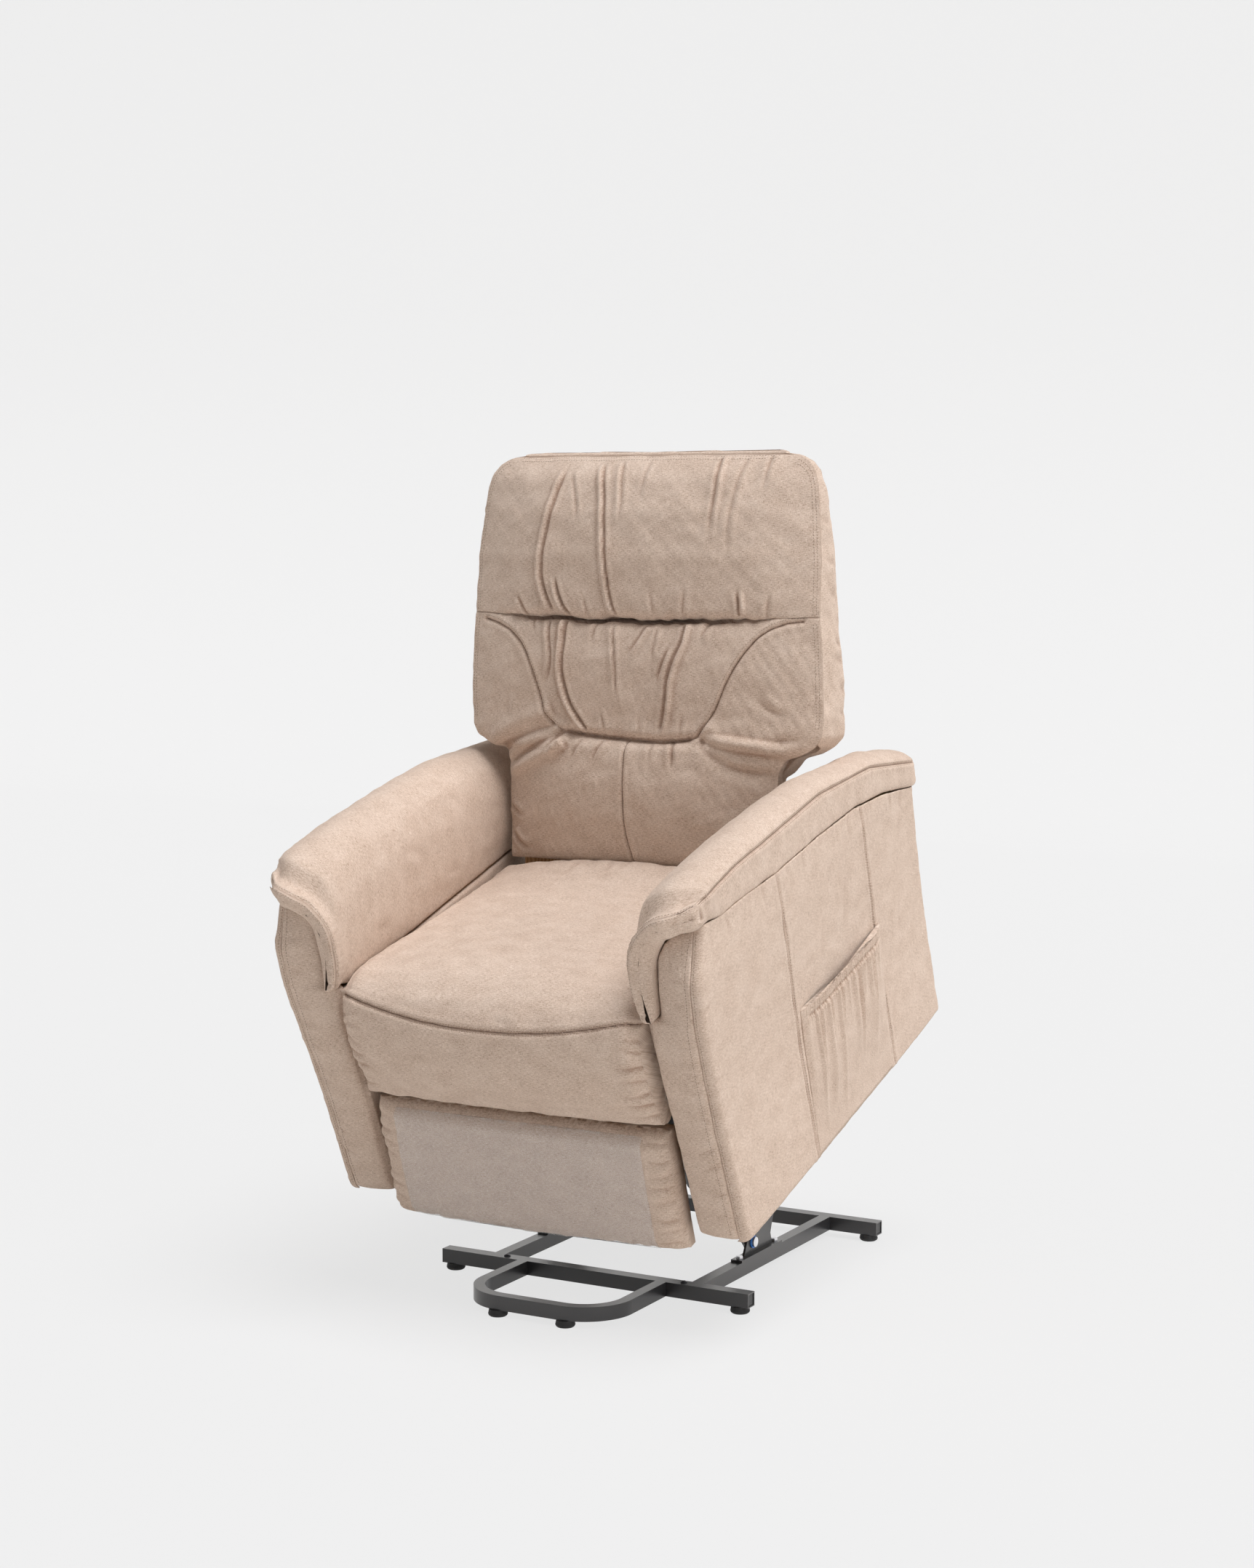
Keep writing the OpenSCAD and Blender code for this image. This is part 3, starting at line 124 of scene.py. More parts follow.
def along(a, b, line):
    """Signed distance from a line of points, and how far along it each point lies, 0 to 1."""
    line = np.array(line, float)
    seg = np.linalg.norm(np.diff(line, axis=0), axis=1)
    start = np.concatenate([[0], np.cumsum(seg)])
    best = np.full(a.shape, 1e9)
    sign = np.ones(a.shape)
    where = np.zeros(a.shape)
    for i, length in enumerate(seg):
        d = (line[i + 1] - line[i]) / length
        ra, rb = a - line[i, 0], b - line[i, 1]
        t = np.clip(ra * d[0] + rb * d[1], 0, length)
        dist = np.hypot(ra - t * d[0], rb - t * d[1])
        near = dist < best
        best = np.where(near, dist, best)
        sign = np.where(near, np.where(d[0] * rb - d[1] * ra >= 0, 1, -1), sign)
        where = np.where(near, start[i] + t, where)
    return best * sign, where / start[-1]


# Features: each returns a height in millimetres over cloth coordinates (a, b)

def seam(line, depth, width, puff):
    """Sewn line: a narrow valley with the cloth swelling a little beside it."""
    line = curve(line, 6)

    def height(a, b):
        d, _ = along(a, b, line)
        swell = puff * np.exp(-((np.abs(d) - 3.4 * width) / (2 * width)) ** 2)
        return swell - depth * np.exp(-(d / width) ** 2)
    return height


def pleat(line, depth, width, ridge=0.8, skew=0.35, ends=(0.15, 0.25)):
    """Loose fold: a valley with a rounder ridge on one side, fading out at its ends."""
    line = curve(line, 5)

    def height(a, b):
        d, t = along(a, b, line)
        fade = smooth(t / max(ends[0], 1e-3)) * smooth((1 - t) / max(ends[1], 1e-3))
        side = np.where(d > 0, 1 + skew, 1 - skew)
        hill = ridge * side * np.exp(-((np.abs(d) - 2.1 * width) / (1.5 * width)) ** 2)
        return depth * fade * (hill - np.exp(-np.abs(d / width) ** 1.5))
    return height


def seeded(rng, line, depth, width, ends, skew=0.2, ridge=0.9, fade=1.0):
    """Pleat whose depth and width are drawn from two ranges."""
    return pleat(line, rng.uniform(*depth) * fade, rng.uniform(*width), ridge, skew, ends)


def crease(line, depth, width, *rest):
    """Sharp fold of the drawn cloth where a tuck gathers it."""
    return pleat(line, 1.35 * depth, 0.75 * width, *rest)


def roll(line, depth, above, below, ends):
    """Deep tuck: the cloth turns down into the line from both sides in a quarter round."""
    line = curve(line, 6)

    def height(a, b):
        d, t = along(a, b, line)
        fade = smooth(t / ends[0]) * smooth((1 - t) / ends[1])
        r = np.where(d > 0, above, below)
        s = np.clip(1 - np.abs(d) / r, 0, 1)
        return -depth * (0.25 + 0.75 * fade) * (1 - np.sqrt(1 - s * s)) * fade ** 0.3
    return height


def bulge(centre, size, height):
    """Soft hill, or a hollow where height is negative."""
    def h(a, b):
        return height * np.exp(-((a - centre[0]) / size[0]) ** 2 - ((b - centre[1]) / size[1]) ** 2)
    return h


def normals(p, wrap):
    """Unit normals of a grid that point away from its middle."""
    if wrap:
        du = np.roll(p, -1, 1) - np.roll(p, 1, 1)
    else:
        du = np.gradient(p, axis=1)
    n = np.cross(du, np.gradient(p, axis=0))
    n /= np.maximum(np.linalg.norm(n, axis=-1, keepdims=True), 1e-9)
    away = p - p.reshape(-1, 3).mean(0)
    if np.sum(n * away) < 0:
        n = -n
    return n


# ---------- Building meshes ----------

def mesh_object(name, verts, faces, cloth, material, place):
    """Smooth mesh, with cloth coordinates and fold depth, where it has them, as an attribute. The fold
    depth drives painted shade in the fabric.
    """
    me = bpy.data.meshes.new(name)
    me.from_pydata(place(verts).tolist(), [], faces)
    me.update()
    if cloth is not None:
        attr = me.attributes.new("cloth", "FLOAT_VECTOR", "POINT")
        flat = np.zeros((len(verts), 3), np.float32)
        flat[:, :cloth.shape[1]] = cloth / 1000
        attr.data.foreach_set("vector", flat.ravel())
    me.polygons.foreach_set("use_smooth", [True] * len(me.polygons))
    ob = bpy.data.objects.new(name, me)
    bpy.context.scene.collection.objects.link(ob)
    me.materials.append(material)
    return ob


def outward(ob):
    bm = bmesh.new()
    bm.from_mesh(ob.data)
    bmesh.ops.recalc_face_normals(bm, faces=bm.faces)
    bm.to_mesh(ob.data)
    bm.free()
    return ob


def loft(name, rings, cloth, material, place, caps=(True, True)):
    """Closed skin through rings (m, n, 3), each ring a loop.
    An end without a cap is already drawn together."""
    m, n, _ = rings.shape
    i, j = np.meshgrid(np.arange(m - 1), np.arange(n), indexing="ij")
    k = (j + 1) % n
    quads = np.stack([i * n + j, i * n + k, (i + 1) * n + k, (i + 1) * n + j], -1).reshape(-1, 4)
    verts = rings.reshape(-1, 3)
    flat = cloth.reshape(-1, cloth.shape[-1])
    faces = quads.tolist()
    for row, cap in ((0, caps[0]), (m - 1, caps[1])):
        if cap:
            c = len(verts)
            verts = np.vstack([verts, rings[row].mean(0)])
            flat = np.vstack([flat, flat[row * n:(row + 1) * n].mean(0)])
            faces += [[row * n + a, row * n + (a + 1) % n, c] for a in range(n)]
    return outward(mesh_object(name, verts, faces, flat, material, place))


def shell(name, front, back, cloth, material, place):
    """Closed skin between two grids of the same size, joined round their four edges."""
    m, n, _ = front.shape
    i, j = np.meshgrid(np.arange(m - 1), np.arange(n - 1), indexing="ij")
    first = i * n + j
    quads = np.stack([first, first + 1, first + n + 1, first + n], -1).reshape(-1, 4)
    rim = np.concatenate([np.arange(n), np.arange(1, m) * n + n - 1,
                          (m - 1) * n + np.arange(n - 2, -1, -1), np.arange(m - 2, 0, -1) * n])
    nxt = np.roll(rim, -1)
    faces = quads.tolist() + (quads[:, ::-1] + m * n).tolist()
    faces += np.stack([rim, rim + m * n, nxt + m * n, nxt], -1).tolist()
    verts = np.concatenate([front.reshape(-1, 3), back.reshape(-1, 3)])
    flat = cloth.reshape(-1, cloth.shape[-1])
    return outward(mesh_object(name, verts, faces, np.concatenate([flat, flat]), material, place))


def blur(h, times):
    """Heights of a grid, evened out with their neighbours."""
    for axis in (0, 1) * times:
        at = np.arange(h.shape[axis])
        lower = np.take(h, np.maximum(at - 1, 0), axis)
        upper = np.take(h, np.minimum(at + 1, len(at) - 1), axis)
        h = (lower + 2 * h + upper) / 4
    return h


def spread(p, features, a, b, *, crumple, seed, wrap=False, mask=None):
    """Moves the grid p along its normals by the features, plus a faint uneven stuffing.
    Returns the grid, and how deep each point lies in its folds, in millimetres, which the fabric turns
    into painted shade."""
    h = np.zeros(a.shape)
    for f in features:
        h += f(a, b)
    near = blur(h, 1)
    dip = np.clip(blur(near, 4) - near - 0.06, 0, 3)
    flat = np.stack([a, b], -1)
    h += crumple * waves(flat, 70, seed) + 0.45 * crumple * waves(flat, 26, seed + 1)
    if mask is not None:
        h *= mask
        dip *= mask
    return p + normals(p, wrap) * h[..., None], dip


def on_grid(p, rows, cols, wrap=False):
    """Points of grid p at fractional rows and columns."""
    m, n = p.shape[:2]
    r = np.clip(rows, 0, m - 1.001)
    i = r.astype(int)
    fr = (r - i)[:, None]
    if wrap:
        c = np.mod(cols, n)
    else:
        c = np.clip(cols, 0, n - 1.001)
    j = c.astype(int)
    fc = (c - j)[:, None]
    k = (j + 1) % n
    return ((p[i, j] * (1 - fc) + p[i, k] * fc) * (1 - fr)
            + (p[i + 1, j] * (1 - fc) + p[i + 1, k] * fc) * fr)


stitch_runs = {}
SEAM_SHADE_LINE = (0.1, 6.8, 5.2, 0.62)      # lift, length, pitch and radius of the dark cord of painted shade drawn in a seam's groove


def stitch(group, points, lift=0.25, length=3.6, pitch=5.2, radius=0.42):
    """Row of thread stitches along points lying on the cloth (local millimetres); with the seam
    settings the spindles overlap into a dark cord of painted shade.
    """
    pts = np.asarray(points, float)
    seg = np.linalg.norm(np.diff(pts, axis=0), axis=1)
    s = np.concatenate([[0], np.cumsum(seg)])
    for mid in np.arange(pitch / 2, s[-1] - pitch / 2, pitch):
        a, b = [np.array([np.interp(mid + e * length / 2, s, pts[:, k]) for k in range(3)])
                for e in (-1, 1)]
        stitch_runs.setdefault(group, []).append((a, b, lift, radius))


FACING_FRONT, SEAT_LIP, ARM_LINES = (0.0, -1.0, 0.0), (0.0, -0.75, 0.66), (0.7, -0.3, 0.55)


def sew(group, body, material, place, up):
    """Builds every stitch of a group as one piece of small spindles.
    The cloth under them faces about up, which is mirrored on the sitter's right."""
    verts, faces = [], []
    sides = 5
    for a, b, lift, radius in stitch_runs.get(group, []):
        d = b - a
        length = np.linalg.norm(d)
        if length < 0.5:
            continue
        d /= length
        n = np.array([math.copysign(up[0], (a[0] + b[0]) / 2), *up[1:]])
        side = np.cross(d, n)
        side /= max(np.linalg.norm(side), 1e-6)
        n = np.cross(side, d)
        base = len(verts)
        for t, r in ((0.0, 0.15), (0.2, 0.85), (0.5, 1.0), (0.8, 0.85), (1.0, 0.15)):
            c = a + d * length * t + n * (lift - 0.5 * (abs(2 * t - 1) ** 3))
            for q in range(sides):
                w = 2 * math.pi * q / sides
                verts.append(c + radius * r * (side * math.cos(w) + n * math.sin(w)))
        for low in range(base, len(verts) - sides, sides):
            for q in range(sides):
                k = (q + 1) % sides
                faces.append([low + q, low + k, low + sides + k, low + sides + q])
        faces.append([base + q for q in range(sides)][::-1])
        faces.append([len(verts) - sides + q for q in range(sides)])
    ob = outward(mesh_object(group, np.array(verts), faces, None, material, place))
    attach(ob, body)


# ---------- Materials ----------

def material(name):
    m = bpy.data.materials.new(name)
    m.use_nodes = True
    return m, m.node_tree, m.node_tree.nodes["Principled BSDF"]


def put(n, **inputs):
    """Sets inputs of a node, or else its settings, by name."""
    for k, v in inputs.items():
        key = k.replace("_", " ")
        if key in n.inputs:
            n.inputs[key].default_value = v
        else:
            setattr(n, k, v)
    return n


def node(nt, kind, **inputs):
    return put(nt.nodes.new("ShaderNode" + kind), **inputs)


def link(nt, a, out, b, inp):
    nt.links.new(a.outputs[out], b.inputs[inp])


def ramp(nt, stops):
    """Colour ramp. A stop's colour may be a single grey value."""
    n = node(nt, "ValToRGB")
    els = n.color_ramp.elements
    while len(els) < len(stops):
        els.new(0.5)
    for e, (pos, col) in zip(els, stops):
        e.position = pos
        e.color = (*col, 1) if len(col) == 3 else (col[0],) * 3 + (1,)
    return n


def srgb(r, g, b):
    return tuple(((c / 255 + 0.055) / 1.055) ** 2.4 if c > 10 else c / 255 / 12.92 for c in (r, g, b))


def texture(nt, source, kind="TexNoise", stretch=None, **inputs):
    """Texture over the coordinates that source gives, stretched where stretch says so."""
    n = node(nt, kind, **inputs)
    if stretch is not None:
        mapping = node(nt, "Mapping", Scale=stretch)
        nt.links.new(source, mapping.inputs["Vector"])
        source = mapping.outputs[0]
    nt.links.new(source, n.inputs["Vector"])
    return n


def own(nt):
    """The object's own coordinates."""
    return node(nt, "TexCoord").outputs["Object"]


def value(source):
    """What a texture or a sum gives, as one number."""
    return source.outputs.get("Fac", source.outputs[0])


def coloured(nt, b, source, stops):
    cols = ramp(nt, stops)
    nt.links.new(value(source), cols.inputs["Fac"])
    link(nt, cols, "Color", b, "Base Color")


def roughened(nt, b, source, low, high):
    """Roughness that runs from low to high with a texture."""
    span = node(nt, "MapRange", To_Min=low, To_Max=high)
    link(nt, source, "Fac", span, "Value")
    link(nt, span, "Result", b, "Roughness")


def bumped(nt, b, source, strength, distance):
    n = node(nt, "Bump", Strength=strength, Distance=distance)
    nt.links.new(value(source), n.inputs["Height"])
    link(nt, n, "Normal", b, "Normal")


def blend(nt, parts):
    """Weighted sum of textures."""
    total = None
    for source, weight in parts:
        n = node(nt, "Math", operation="MULTIPLY_ADD")
        n.inputs[1].default_value = weight
        n.inputs[2].default_value = 0.0
        link(nt, source, "Fac", n, 0)
        if total is not None:
            link(nt, total, 0, n, 2)
        total = n
    return total


def fabric(name, light, dark, deep):
    """Brushed chenille: slubbed weft, fine warp, and pale and dark patches where the nap lies over.
    The depth of the folds, the third cloth coordinate, darkens it toward brown: painted shade in the
    creases, seams and tucks."""
    m, nt, b = material(name)
    split = node(nt, "SeparateXYZ")
    link(nt, node(nt, "Attribute", attribute_name="cloth"), "Vector", split, 0)
    flat = node(nt, "CombineXYZ")
    link(nt, split, "X", flat, "X")
    link(nt, split, "Y", flat, "Y")

    def noise(detail, rough, stretch):
        return texture(nt, flat.outputs[0], stretch=stretch, Scale=1.0, Detail=detail, Roughness=rough)
    weft = noise(3.0, 0.6, (150, 1000, 300))
    warp = noise(2.0, 0.5, (900, 190, 300))
    fleck = noise(3.0, 0.7, (520, 640, 520))
    nap = noise(5.0, 0.68, (20, 34, 20))
    drift = noise(2.0, 0.5, (4.5, 5.5, 5))
    tone = blend(nt, [(weft, 0.40), (warp, 0.16), (fleck, 0.26), (nap, 0.14), (drift, 0.04)])
    cols = ramp(nt, [(0.36, deep), (0.49, dark), (0.62, light)])
    link(nt, tone, 0, cols, "Fac")
    # Painted shade: cloth that lies deep in a fold or seam is multiplied toward a shadow brown
    fold = node(nt, "MapRange", From_Max=0.0012, To_Max=0.5)
    link(nt, split, "Z", fold, "Value")
    shade = node(nt, "Mix", data_type="RGBA", blend_type="MULTIPLY")
    link(nt, fold, "Result", shade, 0)
    link(nt, cols, "Color", shade, 6)
    shade.inputs[7].default_value = (*srgb(176, 146, 128), 1)
    link(nt, shade, 2, b, "Base Color")
    put(b, Roughness=0.95, Specular_IOR_Level=0.12, Sheen_Weight=0.3, Sheen_Roughness=0.5,
        Sheen_Tint=(*srgb(236, 224, 214), 1))
    bumped(nt, b, blend(nt, [(weft, 0.6), (warp, 0.5), (fleck, 0.5)]), 0.7, 0.0009)
    return m


def thread(name, colour):
    m, nt, b = material(name)
    fibre = texture(nt, own(nt), Scale=2600.0, Detail=2.0)
    coloured(nt, b, fibre, [(0.3, tuple(c * 0.72 for c in colour)), (0.7, colour)])
    put(b, Roughness=0.6)
    return m


def painted(name, colour, edge, rough, bump=0.12):
    """Powder coat with an orange-peel grain, dust in places and thinner paint at the edges."""
    m, nt, b = material(name)
    peel = texture(nt, own(nt), Scale=900.0, Detail=2.0)
    haze = texture(nt, own(nt), Scale=9.0, Detail=5.0, Roughness=0.65)
    worn = ramp(nt, [(0.53, (0,)), (0.60, (1,))])
    link(nt, node(nt, "NewGeometry"), "Pointiness", worn, "Fac")
    base = ramp(nt, [(0.35, colour), (0.75, tuple(c * 1.5 + 0.004 for c in colour))])
    link(nt, haze, "Fac", base, "Fac")
    mix = node(nt, "Mix", data_type="RGBA")
    link(nt, worn, "Color", mix, 0)
    link(nt, base, "Color", mix, 6)
    mix.inputs[7].default_value = (*edge, 1)
    link(nt, mix, 2, b, "Base Color")
    roughened(nt, b, haze, *rough)
    bumped(nt, b, peel, bump, 0.0004)
    return m


def metal(name, colour, rough=(0.22, 0.42)):
    m, nt, b = material(name)
    grain = texture(nt, own(nt), Scale=260.0, Detail=3.0)
    haze = texture(nt, own(nt), Scale=30.0, Detail=3.0)
    coloured(nt, b, haze, [(0.3, tuple(c * 0.78 for c in colour)), (0.75, colour)])
    put(b, Metallic=1.0)
    roughened(nt, b, grain, *rough)
    bumped(nt, b, grain, 0.1, 0.0002)
    return m


def wood(name):
    m, nt, b = material(name)
    rings = texture(nt, own(nt), "TexWave", (6, 1.2, 9), Scale=7.0, Distortion=5.0, Detail=3.0,
                    Detail_Scale=1.4)
    pores = texture(nt, own(nt), stretch=(900, 60, 900), Scale=1.0, Detail=3.0)
    coloured(nt, b, blend(nt, [(rings, 0.5), (pores, 0.5)]),
             [(0.2, srgb(176, 136, 92)), (0.6, srgb(203, 166, 118)), (0.9, srgb(219, 187, 142))])
    put(b, Roughness=0.68)
    bumped(nt, b, pores, 0.3, 0.0004)
    return m


def plastic(name, colour, rough, grain=1400.0, bump=0.25):
    m, nt, b = material(name)
    fine = texture(nt, own(nt), Scale=grain, Detail=2.0)
    haze = texture(nt, own(nt), Scale=24.0, Detail=4.0)
    coloured(nt, b, haze, [(0.35, colour), (0.8, tuple(c * 1.35 + 0.003 for c in colour))])
    roughened(nt, b, haze, rough - 0.06, rough + 0.1)
    bumped(nt, b, fine, bump, 0.0003)
    return m


def vinyl(name):
    """Clear soft vinyl: mostly see-through, with a milky cast and scattered creases."""
    m, nt, b = material(name)
    put(b, Base_Color=(*srgb(226, 224, 224), 1), Roughness=0.16, IOR=1.45, Alpha=0.16)
    bumped(nt, b, texture(nt, own(nt), Scale=26.0, Detail=4.0), 0.35, 0.0015)
    return m


def web_cloth(name):
    m, nt, b = material(name)
    stripe = texture(nt, own(nt), "TexWave", Scale=160.0, Distortion=0.4)
    coloured(nt, b, stripe, [(0.2, srgb(58, 54, 48)), (0.8, srgb(98, 92, 82))])
    put(b, Roughness=0.85)
    bumped(nt, b, texture(nt, own(nt), Scale=1500.0, Detail=2.0), 0.4, 0.0005)
    return m


LIGHT, MID, DEEP = srgb(230, 214, 201), srgb(203, 181, 164), srgb(147, 122, 105)
cloth = fabric("chenille", LIGHT, MID, DEEP)
sewing = thread("sewing_thread", srgb(150, 128, 110))
# Painted shade: a dark cord laid along the bottom of each seam, where the groove is in shadow
seam_shade_cord = thread("seam_shade", srgb(112, 90, 76))
steel = painted("black_powder_coat", srgb(10, 10, 11), srgb(48, 48, 50), (0.26, 0.36), bump=0.05)
motor_plastic = plastic("motor_plastic", srgb(30, 31, 33), 0.46)
act_tube = painted("actuator_paint", srgb(52, 53, 56), srgb(110, 110, 112), (0.3, 0.45))
zinc = metal("zinc_plate", (0.62, 0.63, 0.66))
dark_metal = metal("blackened_bolt", (0.10, 0.10, 0.11), (0.3, 0.5))
rubber = plastic("foot_rubber", srgb(28, 28, 29), 0.72, 700.0, 0.5)
cap_plastic = plastic("cap_plastic", srgb(24, 25, 27), 0.5)
box_plastic = plastic("control_plastic", srgb(34, 35, 37), 0.48)
socket_plastic = plastic("socket_plastic", srgb(16, 17, 18), 0.4)
nylon = plastic("blue_nylon", srgb(38, 108, 186), 0.38, 600.0, 0.15)
timber = wood("pine_timber")
clear = vinyl("clear_vinyl")
webbing = web_cloth("elastic_webbing")

FINISH = {
    steel: ["front_cross_tube", "rear_cross_tube", "left_rail", "right_rail", "front_loop",
            "left_lift_bracket", "right_lift_bracket", "lift_actuator_clevis",
            "left_rear_lift_link", "right_rear_lift_link",
            "lift_torque_tube", "front_lift_links", "left_side_plate", "right_side_plate",
            "chassis_cross_tubes", "back_hinge_plates", "back_brackets", "footrest_drive",
            "footrest_main_links", "footrest_swing_links", "footrest_control_links",
            "footrest_leveling_links", "footrest_brackets"],
    zinc: ["bracket_bolts", "lift_pins", "chassis_link_pins", "chassis_pins", "lift_actuator_rod",
           "recline_actuator_rod"],
    motor_plastic: ["lift_motor", "recline_motor"],
    act_tube: ["lift_actuator_tube", "recline_actuator_tube"],
    dark_metal: ["rail_bolts"],
    rubber: ["rubber_feet"],
    cap_plastic: ["tube_end_caps"],
    box_plastic: ["control_box"],
    socket_plastic: ["control_sockets"],
    nylon: ["pivot_bushings"],
    timber: ["seat_side_rails", "seat_cross_rails", "left_arm_frame", "right_arm_frame", "back_board",
             "footrest_board"],
    webbing: ["seat_webbing"],
}
for finish, names in FINISH.items():
    for n in names:
        nodes[n].data.materials.clear()
        nodes[n].data.materials.append(finish)


# ---------- Back ----------

BACK_LEN = 742
HEAD_LOW, LUMBAR_TOP, LUMBAR_LOW = 456.4, 455.6, 14
# By height: half width, the plane of the seam round the front, the crowns and the rear
back_width = [[-60, 264], [190, 270], [214, 284], [224, 318], [236, 338], [254, 350], [290, 353],
              [400, 350], [458, 345], [560, 343], [640, 336], [687, 330], [712, 322], [727, 309],
              [737, 291], [741, 276], [BACK_LEN, 262]]
back_seam = [[0, -12], [274, -14], [455, -21], [600, -12], [700, -4], [BACK_LEN, 6]]
head_crown = [[456, -67], [500, -71], [560, -76], [640, -68], [700, -46], [730, -22], [BACK_LEN, -2]]
low_crown = [[14, -40], [35, -50], [100, -67], [164, -76], [210, -74], [240, -66], [270, -62],
             [300, -66], [380, -73], [430, -68], [456, -56]]
back_rear = [[-60, 92], [270, 90], [345, 85], [590, 52], [690, 38], [735, 31], [BACK_LEN, 30]]


def back_sheet(zs, crown, us):
    """Front of a back cushion: zs up it, and us from -1 to 1 across."""
    z = zs[:, None] + 0 * us[None]
    w = table(back_width, z, 5)
    s, c = table(back_seam, z, 20), table(crown, z, 16)
    return np.stack([us[None] * w, s + (c - s) * (1 - np.abs(us[None]) ** 2.6), z], -1)


REAR = [(0.992, 5), (0.975, 14), (0.965, 24), (0.9, 26.6), (0.45, 26.6)]      # half width, depth
LOW_TOP, BOARD_FACE = 239, 10.4      # up to LOW_TOP the rear of the cushion lies on the board
BOARD_REAR = 27.6


def back_piece(name, zs, crown, features, parts, seed):
    """Cushion of the back: its front with the features, and a plain rear."""
    cols = int(700 / FINE)
    us = np.sin(np.linspace(-1, 1, cols) * math.pi / 2 * 0.86) / math.sin(math.pi / 2 * 0.86)
    front = back_sheet(zs, crown, us)
    a, b = front[..., 0], front[..., 2]
    front, dip = spread(front, features, a, b, crumple=0.55, seed=seed)
    front = tuck_sag(front)
    w = table(back_width, zs, 5)
    shelf = table(back_seam, zs, 20)
    rear = []
    for x, y in REAR + [(-x, y) for x, y in REAR[::-1]]:
        depth = shelf + y if y < 20 else np.full_like(shelf, y)
        if abs(x) < 0.9:
            depth = np.where(zs < LOW_TOP, BOARD_FACE, depth)
        rear.append(np.stack([x * w, np.maximum(depth, shelf + 1), zs], -1))
    rings = np.concatenate([front, np.stack(rear, 1)], 1)
    ca = np.concatenate([a, rings[:, cols:, 0] + 900], 1)
    cb = np.concatenate([b, rings[:, cols:, 2]], 1)
    cc = np.concatenate([dip, np.zeros_like(rings[:, cols:, 2])], 1)
    ob = loft(name, rings, np.stack([ca, cb, cc], -1), cloth, back)
    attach(ob, "back")
    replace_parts(ob, *parts)
    return front, us, zs


def grid_line(piece, line):
    """Dense points on the front of a back cushion along a line of (x, z)."""
    sheet, us, zs = piece
    pts = curve(line, 14)
    w = table(back_width, pts[:, 1], 5)
    return on_grid(sheet, index_of(pts[:, 1], zs), index_of(np.clip(pts[:, 0] / w, -1, 1), us))


def beside(line, off):
    """Line moved sideways by off."""
    p = curve(line, 8)
    d = np.gradient(p, axis=0)
    d /= np.linalg.norm(d, axis=1, keepdims=True)
    return p + off * np.stack([-d[:, 1], d[:, 0]], -1)


SHIELD_R = [(-348, 446), (-318, 445), (-278, 437), (-235, 412), (-206, 367), (-188, 317), (-167, 274),
            (-140, 253)]
SHIELD_L = [(348, 450), (318, 450), (286, 446), (245, 427), (217, 393), (190, 348), (165, 294),
            (133, 250)]
LOW_TUCK = [(-150, 256), (-140, 252), (-81, 246), (-24, 243), (65, 240), (120, 246), (143, 253)]
CENTRE = [(-3, 240), (-4, 189), (-6, 124), (-4, 68), (2, 38), (6, 14)]

head_folds = [
    crease([(-149, 724), (-158, 686), (-171, 620), (-180, 570), (-182, 524), (-171, 489), (-158, 464)],
           3.6, 4.6, 1.0, -0.5, (.15, .05)),
    crease([(-138, 711), (-118, 660), (-110, 620)], 1.3, 4.5),
    crease([(-157, 530), (-145, 495), (-134, 472), (-126, 462)], 4.2, 4.2, 1.0, -0.4, (.4, .02)),
    crease([(-79, 731), (-59, 660), (-50, 585), (-44, 526), (-37, 486), (-27, 458)],
           3.2, 4.0, 1.0, -0.5, (.1, .04)),
    crease([(-40, 731), (-24, 660), (-24, 600)], 1.8, 4.2, 0.9, -0.4, (.08, .6)),
    crease([(13, 730), (12, 674), (6, 640)], 1.2, 5.0, 0.8, 0.3, (.05, .7)),
    crease([(149, 737), (154, 684), (153, 620), (151, 570)], 2.2, 4.6, 1.0, 0.4, (.05, .6)),
    crease([(199, 737), (190, 669), (185, 596), (190, 540)], 1.2, 5.5, 0.9, 0.3, (.05, .5)),
    crease([(242, 740), (240, 694), (236, 660)], 1.4, 5.0, 0.9, 0.3, (.05, .7)),
    crease([(204, 512), (207, 485), (208, 462)], 3.4, 4.0, 1.0, 0.3, (.5, .02)),
    crease([(-242, 496), (-226, 470), (-222, 458)], 3.0, 5.0, 1.0, -0.3, (.5, .02)),
    crease([(110, 520), (104, 470), (103, 458)], 1.8, 5.0, 0.8, 0.2, (.6, .02)),
    crease([(40, 515), (46, 475), (48, 458)], 1.6, 5.0, 0.8, -0.2, (.6, .02)),
    crease([(-95, 505), (-88, 478), (-84, 458)], 2.0, 4.5, 0.8, -0.2, (.6, .02)),
    crease([(262, 505), (258, 478), (256, 458)], 1.6, 5.0, 0.8, -0.2, (.6, .02)),
    bulge((-235, 600), (90, 110), 2.0), bulge((230, 590), (90, 120), 2.0),
    bulge((20, 560), (110, 80), 1.5),
]
